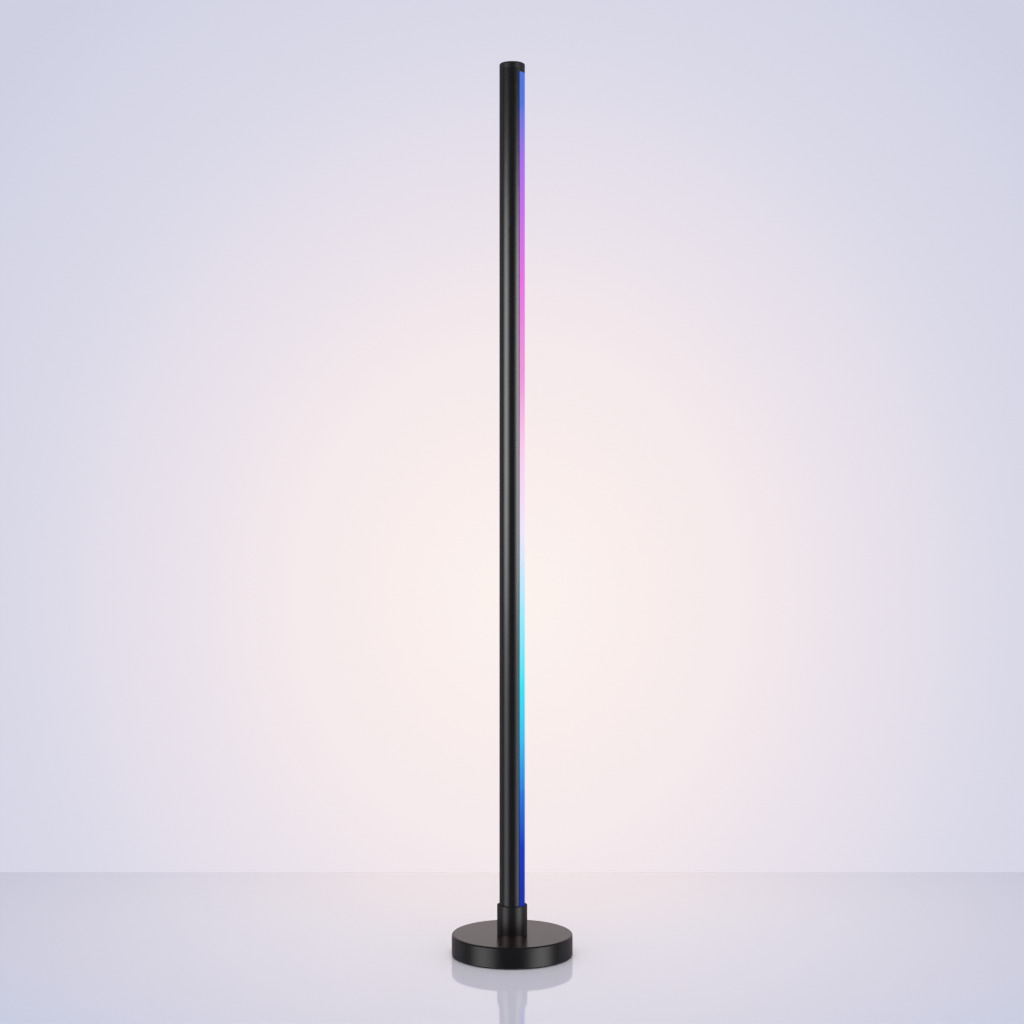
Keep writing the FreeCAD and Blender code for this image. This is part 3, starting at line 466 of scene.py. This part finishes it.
def grown(name, mesh, tree, values):
    """The object that the tree makes from the mesh, as a plain mesh."""
    made = bpy.data.objects.new(name, mesh)
    bpy.context.scene.collection.objects.link(made)
    change = made.modifiers.new(name, "NODES")
    change.node_group = tree
    for socket in tree.interface.items_tree:
        if socket.in_out == "INPUT" and socket.name in values:
            change[socket.identifier] = values[socket.name]
    plain = bpy.data.meshes.new_from_object(
        made.evaluated_get(bpy.context.evaluated_depsgraph_get()))
    made.modifiers.clear()
    made.data = plain
    smooth(plain)
    return made


ring_tree, given, leaving = node_tree("set_in_ring", {"Count": 4, "Radius": 0.04,
                                                      "Height": 0.0, "Start": 0.785398,
                                                      "Material": None})
circle = place(ring_tree, "GeometryNodeMeshCircle", {"fill_type": "NONE"},
               Vertices=given["Count"], Radius=given["Radius"])
turn = place(ring_tree, "ShaderNodeCombineXYZ", Z=given["Start"])
lift = place(ring_tree, "ShaderNodeCombineXYZ", Z=given["Height"])
stood = place(ring_tree, "GeometryNodeTransform", Geometry=circle.outputs[0],
              Rotation=turn.outputs[0], Translation=lift.outputs[0])
copies = place(ring_tree, "GeometryNodeInstanceOnPoints", Points=stood.outputs[0],
               Instance=given["Geometry"])
close_tree(ring_tree, copies.outputs[0], given, leaving)

# Drawn lines: the fine marks that a lathe, a die or a brush leaves along one direction.
lines, given, result = group("drawn_lines", {"Stretch": (1.0, 1.0, 0.02),
                                             "Lines per metre": 4000.0, "Gloss floor": 0.3,
                                             "Gloss spread": 0.1}, ("Height", "Roughness"))
pulled = place(lines, "ShaderNodeVectorMath", {"operation": "MULTIPLY"},
               _0=coordinates(lines), _1=given["Stretch"])
marks = noise(lines, pulled.outputs[0], given["Lines per metre"], 4, 0.7)
lines.links.new(marks, result["Height"])
lines.links.new(maths(lines, "MULTIPLY_ADD", marks, given["Gloss spread"],
                      given["Gloss floor"]), result["Roughness"])


def draw_lines(tree, shader, stretch, count, gloss, spread, depth):
    """Gives a shader the drawn lines: count to the metre, their depth in metres, and a
    roughness that goes from gloss to gloss + spread."""
    marks = place(tree, "ShaderNodeGroup", {"node_tree": lines}, Stretch=stretch,
                  Lines_per_metre=count, Gloss_floor=gloss, Gloss_spread=spread)
    tree.links.new(marks.outputs["Roughness"], shader.inputs["Roughness"])
    relief(tree, shader, marks.outputs["Height"], depth)


def drawn(name, code, stretch, count, gloss, spread, depth, metallic=1.0):
    """A metal with drawn lines."""
    made, tree, shader = finish(name, code, gloss, metallic)
    draw_lines(tree, shader, stretch, count, gloss, spread, depth)
    stain = noise(tree, coordinates(tree), 90, 3)
    tree.links.new(mixed(tree, stain, toned(code, 0.88), tint(code)),
                   shader.inputs["Base Color"])
    return made


screw_black = drawn("screw_black", "35363A", (1, 1, 0.3), 3000, 0.3, 0.16, 0.00002, 0.85)
low_screw = sunk_screw("plate_screw", 8)
low_screw.transform(Matrix.Rotation(math.pi, 4, "X"))
plate_screws = grown("plate_screws_fine", low_screw, ring_tree,
                     {"Count": 4, "Radius": 0.04, "Height": 0.0012, "Start": math.pi / 4,
                      "Material": screw_black})
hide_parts("plate_screws")
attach(plate_screws, "base")


# ---- Base weight ---------------------------------------------------------------------------
# A sand-cast iron disc that keeps the lamp upright, left as it comes from the mould.
# The well under its hub clears the nut, and the bay at its back holds the board.
iron, tree, shader = finish("weight_iron", "4A4744", 0.75, 0.55)
sand_depth = 0.0004
spot = coordinates(tree)
sand = noise(tree, spot, 900, 6, 0.65)
bloom = noise(tree, spot, 45, 5)
tree.links.new(ramp(tree, bloom, [(0.35, "383634"), (0.6, "4C4946"), (0.78, "5E4A3C")]),
               shader.inputs["Base Color"])
rough = place(tree, "ShaderNodeMapRange", Value=sand, To_Min=0.6, To_Max=0.88)
tree.links.new(rough.outputs[0], shader.inputs["Roughness"])
relief(tree, shader, sand, sand_depth)
dress("base_weight", iron)


# ---- Base cover ----------------------------------------------------------------------------
# A pressed steel shell over the weight, with a soft turned-down edge and a satin black
# powder coat.  The collar clamps it, and the window at its back takes the bezel.
def duller_aslant(made, more=0.5, walls_only=False):
    """Adds up to more to the roughness of a satin black where it is seen aslant, on the
    whole piece or on its upright walls alone."""
    tree = made.node_tree
    shader = tree.nodes["Principled BSDF"]
    even = shader.inputs["Roughness"].links[0].from_socket
    facing = place(tree, "ShaderNodeLayerWeight").outputs["Facing"]
    aslant = eased(tree, facing, 0.3, 0.65, 0, more)
    if walls_only:
        upward = place(tree, "ShaderNodeSeparateXYZ", Vector=coordinates(tree, "Normal"))
        walls = place(tree, "ShaderNodeMapRange", Value=upward.outputs["Z"], From_Min=0.2,
                      From_Max=0.7, To_Min=1, To_Max=0)
        aslant = maths(tree, "MULTIPLY", aslant, walls.outputs[0])
    tree.links.new(maths(tree, "ADD", even, aslant), shader.inputs["Roughness"])
    return made


coat = duller_aslant(skinned("cover_black", "0C0B0B", 1500, 0.19, 0.07, 0.00005, 24, 0.145),
                     more=0.28, walls_only=True)
shader = coat.node_tree.nodes["Principled BSDF"]
shader.inputs["Sheen Weight"].default_value = 0.08
shader.inputs["Sheen Roughness"].default_value = 0.3
shader.inputs["Sheen Tint"].default_value = tint("FF9F89")
dress("base_cover", coat)


# ---- Collar --------------------------------------------------------------------------------
# The turned sleeve that the pole stands in, coated like the cover.  A fine bevel breaks its
# mouth, and the head of the grub screw lies in its back.
dress("collar", duller_aslant(skinned("collar_black", "0B0B0C", 1700, 0.26, 0.08, 0.00005,
                                      40, 0.15)))
dress("grub_screw", screw_black)


# ---- Nipple, washer and nut ----------------------------------------------------------------
# A hollow threaded nipple joins the collar to the weight, and the lead passes through it.
# The nut pulls it down from inside the well, all of it bright zinc plate.
def new_piece(name, mesh, material):
    """An object of this material for a mesh that lies in place."""
    made = bpy.data.objects.new(name, mesh)
    bpy.context.scene.collection.objects.link(made)
    mesh.materials.append(material)
    smooth(mesh)
    return made


zinc = drawn("zinc_bright", "C6C7C2", (1, 1, 0.25), 2500, 0.24, 0.18, 0.00002)
nipple_low, nipple_high = (corner.z * 1000 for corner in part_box("threaded_nipple"))
nipple_bore, nipple_root, nipple_crest = 3.25, 4.45, 5.0
nipple = new_piece("nipple_fine", turned(
    "nipple_fine", [(nipple_bore, nipple_high), (4.7, nipple_high), (4.97, nipple_high - 0.3)]
    + thread(nipple_root, nipple_crest, nipple_low + 0.5, nipple_high - 0.3, pitch=1.0)
    + [(nipple_root, nipple_low + 0.3), (4.2, nipple_low), (nipple_bore, nipple_low)], 72),
    zinc)
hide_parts("threaded_nipple")
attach(nipple, "base")
dress("lock_washer", zinc)
dress("nipple_nut", zinc)


# ---- Bearing rings -------------------------------------------------------------------------
# The pole turns on a slip washer of natural acetal, and a rubber ring in the collar's mouth
# holds it where it is turned.
dress("thrust_washer", skinned("acetal_white", "E6E4DC", 3000, 0.32, 0.1, 0.00002))
dress("friction_ring", skinned("ring_rubber", "141415", 4000, 0.55, 0.15, 0.00003))


# ---- Turning contact -----------------------------------------------------------------------
# A brass pin in a nylon bush stands on the nipple and turns in a socket in the pole's plug.
# Gold-plated bands carry the feed, and a sleeved lead joins the pin to the board.
dress("contact_holder", skinned("bush_black", "222325", 3500, 0.45, 0.12, 0.00003))
dress("contact_socket", skinned("socket_black", "1E1F21", 3500, 0.45, 0.12, 0.00003))
dress("contact_pin", drawn("brass_turned", "C9A35A", (0.05, 0.05, 1), 6000, 0.2, 0.14,
                           0.00002))
dress("contact_bands", drawn("band_gold", "E0B45C", (0.05, 0.05, 1), 6000, 0.14, 0.1,
                             0.00001))
sleeve = skinned("lead_sleeve", "19191B", 3000, 0.42, 0.14, 0.00003)
dress("contact_lead", sleeve)
dress("strip_lead", sleeve)


# ---- Control board -------------------------------------------------------------------------
# A glass laminate board in green solder mask, with copper tracks under it, on three nylon
# spacers at the back of the base.
board, tree, shader = finish("board_green", "0F5A2C", 0.32)
spot = coordinates(tree)
tracks = place(tree, "ShaderNodeTexBrick", Vector=spot, Scale=160, Color1=tint("157038"),
               Color2=tint("0E5329"), Mortar=tint("2B8F4C"), Mortar_Size=0.012,
               Brick_Width=0.9, Row_Height=0.22)
weave = noise(tree, spot, 1400, 2)
tree.links.new(mixed(tree, weave, tint("0C4723"), tracks.outputs["Color"]),
               shader.inputs["Base Color"])
relief(tree, shader, tracks.outputs["Fac"], 0.00004)
dress("control_board", board)
dress("board_spacers", skinned("nylon_white", "DAD6C8", 3000, 0.38, 0.12, 0.00003))
dress("board_header", skinned("header_cream", "E2DCCA", 3000, 0.36, 0.12, 0.00003))
dress("board_components", skinned("chip_black", "1A1A1D", 5000, 0.34, 0.16, 0.00002))


# ---- Bezel, inlet and button ---------------------------------------------------------------
# A black moulding fills the cover's window, with a fine spark-eroded face.  The board's power
# inlet and the round push button come out through it.
dress("rear_bezel", skinned("bezel_black", "17171A", 4500, 0.46, 0.12, 0.00006))
dress("power_inlet", skinned("inlet_black", "121213", 3500, 0.38, 0.12, 0.00003))
dress("inlet_pin", drawn("pin_nickel", "CFCBC0", (1, 0.05, 1), 5000, 0.16, 0.1, 0.00001))
dress("push_switch", skinned("switch_dark", "242529", 3500, 0.4, 0.12, 0.00003))
dress("switch_plunger", skinned("stem_white", "D9D6CC", 3000, 0.34, 0.1, 0.00002))
dress("push_button", skinned("button_grey", "37373B", 6000, 0.30, 0.10, 0.00002))


# ---- Board screws --------------------------------------------------------------------------
# Three small pan-head screws with a cross recess hold the board down on its spacers.
row_tree, given, leaving = node_tree("set_in_row", {"Count": 2, "First": (0.0, 0.0, 0.0),
                                                    "Step": (0.0, 0.0, 0.01),
                                                    "Material": None})
row = place(row_tree, "GeometryNodeMeshLine", {"mode": "OFFSET"}, Count=given["Count"],
            Start_Location=given["First"], Offset=given["Step"])
copies = place(row_tree, "GeometryNodeInstanceOnPoints", Points=row.outputs[0],
               Instance=given["Geometry"])
close_tree(row_tree, copies.outputs[0], given, leaving)


def merged(name, *meshes):
    """One mesh that holds all of these."""
    work = bmesh.new()
    for one in meshes:
        work.from_mesh(one)
    mesh = bpy.data.meshes.new(name)
    work.to_mesh(mesh)
    work.free()
    return mesh


recess_reach, recess_half = 1.05, 0.28
pan = turned("board_screw", [(0, 1.5), (1.1, 1.44), (1.8, 1.1), (2.2, 0.45), (2.25, 0.0),
                             (1.25, 0.0)]
             + thread(root=1.02, crest=1.25, low=-2.9, high=-0.1, pitch=0.45)
             + [(0.7, -3.0), (0, -3.0)], 36)
for turn in (0, math.pi / 2):
    slot = prism("recess", [(-recess_reach, -recess_half), (recess_reach, -recess_half),
                            (recess_reach, recess_half), (-recess_reach, recess_half)],
                 low=0.75, high=2)
    slot.transform(Matrix.Rotation(turn, 4, "Z"))
    pan = carve(pan, slot)
board_low, board_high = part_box("control_board")
inset = 0.003
front_pair = grown("front_pair", pan.copy(), row_tree, {
    "Count": 2, "First": (board_low.x + inset, board_low.y + inset, board_high.z),
    "Step": (board_high.x - board_low.x - 2 * inset, 0, 0), "Material": zinc})
back_one = grown("back_one", pan, row_tree, {
    "Count": 1, "First": (0, board_high.y - inset, board_high.z), "Step": (0, 0, 0.01),
    "Material": zinc})
# A tree leaves its first slot empty, and the merged screws keep only that one.  They carry no
# finish yet, and nothing shows them inside the base.
board_screws = new_piece("board_screws_fine", merged("board_screws_fine", front_pair.data,
                                                     back_one.data),
                         front_pair.data.materials[0])
for one in (front_pair, back_one):
    bpy.data.objects.remove(one)
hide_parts("board_screws")
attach(board_screws, "base")


# ---- Bottom plug ---------------------------------------------------------------------------
# A black nylon plug screwed into the foot of the tube.  It runs in the collar, and its groove
# rides on the grub screw, so the pole turns but stays in.
dress("bottom_plug", skinned("plug_black", "1C1D1F", 3500, 0.42, 0.12, 0.00003))
tap_x = -7.0708
tap_y = 8.4267
long_screw = sunk_screw("plug_screw", 22)
long_screw.transform(Matrix.Rotation(math.pi, 4, "X"))
plug_screws = grown("plug_screws_fine", long_screw, row_tree, {
    "Count": 2, "First": (tap_x / 1000, -tap_y / 1000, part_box("plug_screws")[0].z),
    "Step": (0, 2 * tap_y / 1000, 0), "Material": zinc})
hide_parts("plug_screws")
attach(plug_screws, "pole")


# ---- Pole tube -----------------------------------------------------------------------------
# One aluminium extrusion, anodised satin black: a round wall that is open on one side, a web
# across it for the light strip, and two ports for the end screws.
drawn_tree, given, leaving = node_tree("drawn_section", {"Length": 1.0, "Material": None})
rise = place(drawn_tree, "ShaderNodeCombineXYZ", Z=given["Length"])
pulled = place(drawn_tree, "GeometryNodeExtrudeMesh", {"mode": "FACES"},
               Mesh=given["Geometry"], Offset=rise.outputs[0], Offset_Scale=1.0,
               Individual=False)
under = place(drawn_tree, "GeometryNodeFlipFaces", Mesh=given["Geometry"])
whole = place(drawn_tree, "GeometryNodeJoinGeometry", Geometry=pulled.outputs["Mesh"])
drawn_tree.links.new(under.outputs[0], whole.inputs[0])
sealed = place(drawn_tree, "GeometryNodeMergeByDistance", Geometry=whole.outputs[0],
               Distance=1e-6)
close_tree(drawn_tree, sealed.outputs[0], given, leaving)


def section(name, outlines, height):
    """A flat mesh at this height, in metres, with a face up for each outline of (x, y), in
    millimetres."""
    points = []
    faces = []
    for outline in outlines:
        faces.append(range(len(points), len(points) + len(outline)))
        points += [(x / 1000, y / 1000, height) for x, y in outline]
    mesh = bpy.data.meshes.new(name)
    mesh.from_pydata(points, [], faces)
    work = bmesh.new()
    work.from_mesh(mesh)
    bmesh.ops.remove_doubles(work, verts=work.verts, dist=1e-7)
    for face in work.faces:
        if face.normal.z < 0:
            face.normal_flip()
    work.to_mesh(mesh)
    work.free()
    return mesh


pole_radius = 15.0
bore_radius = 13.5
slot_half = 58.3
web_thick = 1.5
web_face = bore_radius * math.cos(math.radians(slot_half)) - 2.6
web_back = web_face - web_thick
web_half = math.sqrt(((pole_radius + bore_radius) / 2) ** 2 - (web_face - web_thick / 2) ** 2)
port_radius = 3.0
tap_radius = 1.55
pole_low, pole_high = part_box("pole_tube")
outlines = [arc(0, 0, pole_radius, slot_half, 360 - slot_half, 180)
            + arc(0, 0, bore_radius, 360 - slot_half, slot_half, 120),
            [(web_back, -web_half), (web_face, -web_half), (web_face, web_half),
             (web_back, web_half)]]
for side in (1, -1):
    for start in (0, 180):
        outlines.append(arc(tap_x, side * tap_y, port_radius, start, start + 180, 16)
                        + arc(tap_x, side * tap_y, tap_radius, start + 180, start, 12))
anodised, tree, shader = finish("pole_anodised", "08080A", 0.26, sheen_level=0.15)
draw_lines(tree, shader, (1, 1, 0.012), 2600, 0.22, 0.08, 0.000012)
bath = noise(tree, coordinates(tree), 14, 3)
tree.links.new(ramp(tree, bath, [(0.3, "070708"), (0.7, "0B0B0C")]),
               shader.inputs["Base Color"])
duller_aslant(anodised)
pole = grown("pole_shell", section("pole_shell", outlines, pole_low.z), drawn_tree,
             {"Length": pole_high.z - pole_low.z, "Material": anodised})
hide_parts("pole_tube")
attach(pole, "pole")


# ---- Light strip ---------------------------------------------------------------------------
# A flexible circuit stuck to the web under a white mask, with a cut line between each pair of
# chips, tinned pads beside it, and a small resistor by each chip.
strip_low, strip_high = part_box("light_strip")
pitch = 0.0165
chip_count = round((strip_high.z - strip_low.z) / pitch)
strip_code = "E4E5E2"
pad_share, pad_y, pad_half = 0.11, 0.0026, 0.0012
cut_share = 0.008
mask, tree, shader = finish("strip_mask", strip_code, 0.45)
axes = place(tree, "ShaderNodeSeparateXYZ", Vector=coordinates(tree)).outputs
steps = maths(tree, "MULTIPLY_ADD", axes["Z"], 1 / pitch, -strip_low.z / pitch)
nearest = maths(tree, "PINGPONG", steps, 0.5)
beside = maths(tree, "COMPARE", maths(tree, "ABSOLUTE", axes["Y"]), pad_y, pad_half)
pads = maths(tree, "MULTIPLY", maths(tree, "LESS_THAN", nearest, pad_share), beside)
tinned = mixed(tree, pads, tint(strip_code), tint("C9A070"))
cut_line = maths(tree, "LESS_THAN", nearest, cut_share)
tree.links.new(mixed(tree, cut_line, tinned, tint("3C3C3C")), shader.inputs["Base Color"])
tree.links.new(pads, shader.inputs["Metallic"])
relief(tree, shader, pads, 0.00003)
strip_section = section("strip_fine", [[(strip_low.x * 1000, strip_low.y * 1000),
                                        (strip_high.x * 1000, strip_low.y * 1000),
                                        (strip_high.x * 1000, strip_high.y * 1000),
                                        (strip_low.x * 1000, strip_high.y * 1000)]],
                        strip_low.z)
strip = grown("strip_fine", strip_section, drawn_tree,
              {"Length": strip_high.z - strip_low.z, "Material": mask})
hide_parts("light_strip")
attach(strip, "pole")

resistor_y = 0.0036
resistor_up = 0.0045
ceramic = skinned("resistor_ceramic", "2A2B2E", 6000, 0.3, 0.1, 0.00001)
body = prism("resistor", [(0, -0.4), (0.5, -0.4), (0.5, 0.4), (0, 0.4)], -0.8, 0.8)
work = bmesh.new()
work.from_mesh(body)
bmesh.ops.bevel(work, geom=work.edges, offset=0.00008, segments=1, affect="EDGES")
work.to_mesh(body)
work.free()
resistors = grown("strip_resistors", body, row_tree, {
    "Count": chip_count,
    "First": (strip_high.x, resistor_y, strip_low.z + pitch / 2 + resistor_up),
    "Step": (0, 0, pitch), "Material": ceramic})
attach(resistors, "pole")


# ---- Light chips ---------------------------------------------------------------------------
# Square white packages on the strip, each with a round well of clear resin over its three
# colour dies.
chip_low, chip_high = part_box("light_chips")
chip_tall = (chip_high.x - chip_low.x) * 1000
half = 2.5
nick = 0.3
well = 1.9
well_floor = chip_tall - 0.35
package = prism("chip", [(-half, -half + nick), (-half + nick, -half), (half, -half),
                         (half, half), (-half, half)], 0, chip_tall)
package = carve(package, prism("well", arc(0, 0, well, 0, 337.5, 15), well_floor,
                               chip_tall + 1))
resin_dome = turned("resin", [(0, chip_tall - 0.36), (well - 0.02, chip_tall - 0.36),
                              (well - 0.02, chip_tall - 0.1), (1.1, chip_tall - 0.04),
                              (0, chip_tall - 0.02)], 16)
one_chip = merged("one_chip", package, resin_dome)
one_chip.transform(Matrix.Rotation(math.pi / 2, 4, "Y"))
chip_glow, tree, shader = finish("chip_glow", "ECEBE0", 0.3)
spot = coordinates(tree)
axes = place(tree, "ShaderNodeSeparateXYZ", Vector=spot).outputs
steps = maths(tree, "MULTIPLY_ADD", axes["Z"], 1 / pitch, 0.5 - strip_low.z / pitch)
from_middle = maths(tree, "MULTIPLY", maths(tree, "PINGPONG", steps, 0.5), pitch)
on_face = place(tree, "ShaderNodeCombineXYZ", X=from_middle, Y=axes["Y"])
in_well = maths(tree, "LESS_THAN", distance(tree, on_face.outputs[0]), well / 1000)
dies = place(tree, "ShaderNodeTexVoronoi", Vector=spot, Scale=900)
well_tone = ramp(tree, dies.outputs["Distance"], [(0.1, "8F8A5A"), (0.5, "D9D4A8"),
                                                  (1, "EFEDD8")])
tree.links.new(mixed(tree, in_well, tint("E9E9E4"), well_tone), shader.inputs["Base Color"])
chips = grown("chips_fine", one_chip, row_tree, {
    "Count": chip_count, "First": (chip_low.x, 0, strip_low.z + pitch / 2),
    "Step": (0, 0, pitch), "Material": chip_glow})
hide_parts("light_chips")
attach(chips, "pole")


# ---- Diffuser ------------------------------------------------------------------------------
# A milk-white window, extruded round to match the tube, whose two hooked legs snap behind the
# lips of the slot.  The chips behind it fade through their colours from foot to head.  The
# window carries their glow itself, and its milk white is painted with that glow: painted
# light.
ripple = 0.012
# Painted shade: the glow darkens towards the window's two edges, beside the lips of the slot.
edge_shade_from, edge_shade_to = math.radians(50.5), math.radians(56.5)
edge_shade_share = 0.06
milk, tree, shader = finish("diffuser_glow", "B9BAC6", 0.42, sheen_level=0.03)
spot = coordinates(tree)
axes = place(tree, "ShaderNodeSeparateXYZ", Vector=spot).outputs
uneven = maths(tree, "MULTIPLY_ADD", noise(tree, spot, 60, 2), ripple, -ripple / 2)
fade = ramp(tree, maths(tree, "ADD", axes["Z"], uneven), [
    (0.060, "0E2CA8"), (0.127, "0A36C0"), (0.191, "1F78DB"), (0.255, "34BDEF"),
    (0.318, "38E4F6"), (0.403, "98EBFB"), (0.500, "EEE6FB"), (0.594, "FBCBEE"),
    (0.679, "F196D8"), (0.790, "EA70E3"), (0.913, "B46BEC"), (0.990, "6C75E3"),
    (1.025, "4E73DE")])
# Painted shade at the two edges of the window.
angle = maths(tree, "ARCTAN2", maths(tree, "ABSOLUTE", axes["Y"]), axes["X"])
edge_shaded_glow = place(tree, "ShaderNodeVectorMath", {"operation": "SCALE"}, _0=fade,
              Scale=eased(tree, angle, edge_shade_from, edge_shade_to, 1, edge_shade_share))
tree.links.new(edge_shaded_glow.outputs[0], shader.inputs["Emission Color"])
shader.inputs["Emission Strength"].default_value = 0.92
# Painted light: the window's own colour is the glow's colours, dimmed, in place of milk white.
tree.links.new(mixed(tree, 1, fade, tint("60606A"), "MULTIPLY"), shader.inputs["Base Color"])
draw_lines(tree, shader, (1, 1, 0.01), 1500, 0.38, 0.1, 0.000015)

gap = 0.15
window_low, window_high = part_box("diffuser")
window_thick = 1.3
leg_thick = 1.0
hook_tall = 1.1
window_inner = pole_radius - window_thick
reach = bore_radius - gap
leg_out = bore_radius * math.sin(math.radians(slot_half)) - gap
leg_in = leg_out - leg_thick
leg_foot = web_face + 2 * gap
leg_hook = leg_foot + hook_tall
leg_tip = math.sqrt(reach ** 2 - leg_hook ** 2)
shoulder = math.sqrt(reach ** 2 - leg_out ** 2)


def face_end(radius):
    """Angle at which the window's end face, a gap clear of the lip, meets this radius."""
    return slot_half - math.degrees(math.asin(gap / radius))


def on_inner(y):
    """Angle at which the window's inner face is y from its middle."""
    return math.degrees(math.asin(y / window_inner))


half_outline = arc(0, 0, window_inner, face_end(window_inner), on_inner(leg_out), 3)
half_outline += [(shoulder, leg_out), (leg_hook, leg_tip), (leg_foot, leg_tip),
                 (leg_foot, leg_in)]
half_outline += arc(0, 0, window_inner, on_inner(leg_in), 0, 24)
window_outline = arc(0, 0, pole_radius, -face_end(pole_radius), face_end(pole_radius), 96)
window_outline += half_outline
window_outline += [(x, -y) for x, y in reversed(half_outline[:-1])]
window = grown("window", section("window", [window_outline], window_low.z), drawn_tree,
               {"Length": window_high.z - window_low.z, "Material": milk})
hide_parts("diffuser")
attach(window, "pole")


# ---- Top cap -------------------------------------------------------------------------------
# A black moulded cap, flush with the tube, whose tab closes the slot above the window.
# Two countersunk screws hold it to the ports of the tube.
dress("top_cap", duller_aslant(skinned("cap_black", "0B0B0C", 3500, 0.28, 0.10, 0.00003, 40,
                                       0.16)))
cap_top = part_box("top_cap")[1].z
cap_screws = grown("cap_screws_fine", sunk_screw("cap_screw", 14), row_tree, {
    "Count": 2, "First": (tap_x / 1000, -tap_y / 1000, cap_top - 0.0002),
    "Step": (0, 2 * tap_y / 1000, 0), "Material": screw_black})
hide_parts("cap_screws")
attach(cap_screws, "pole")
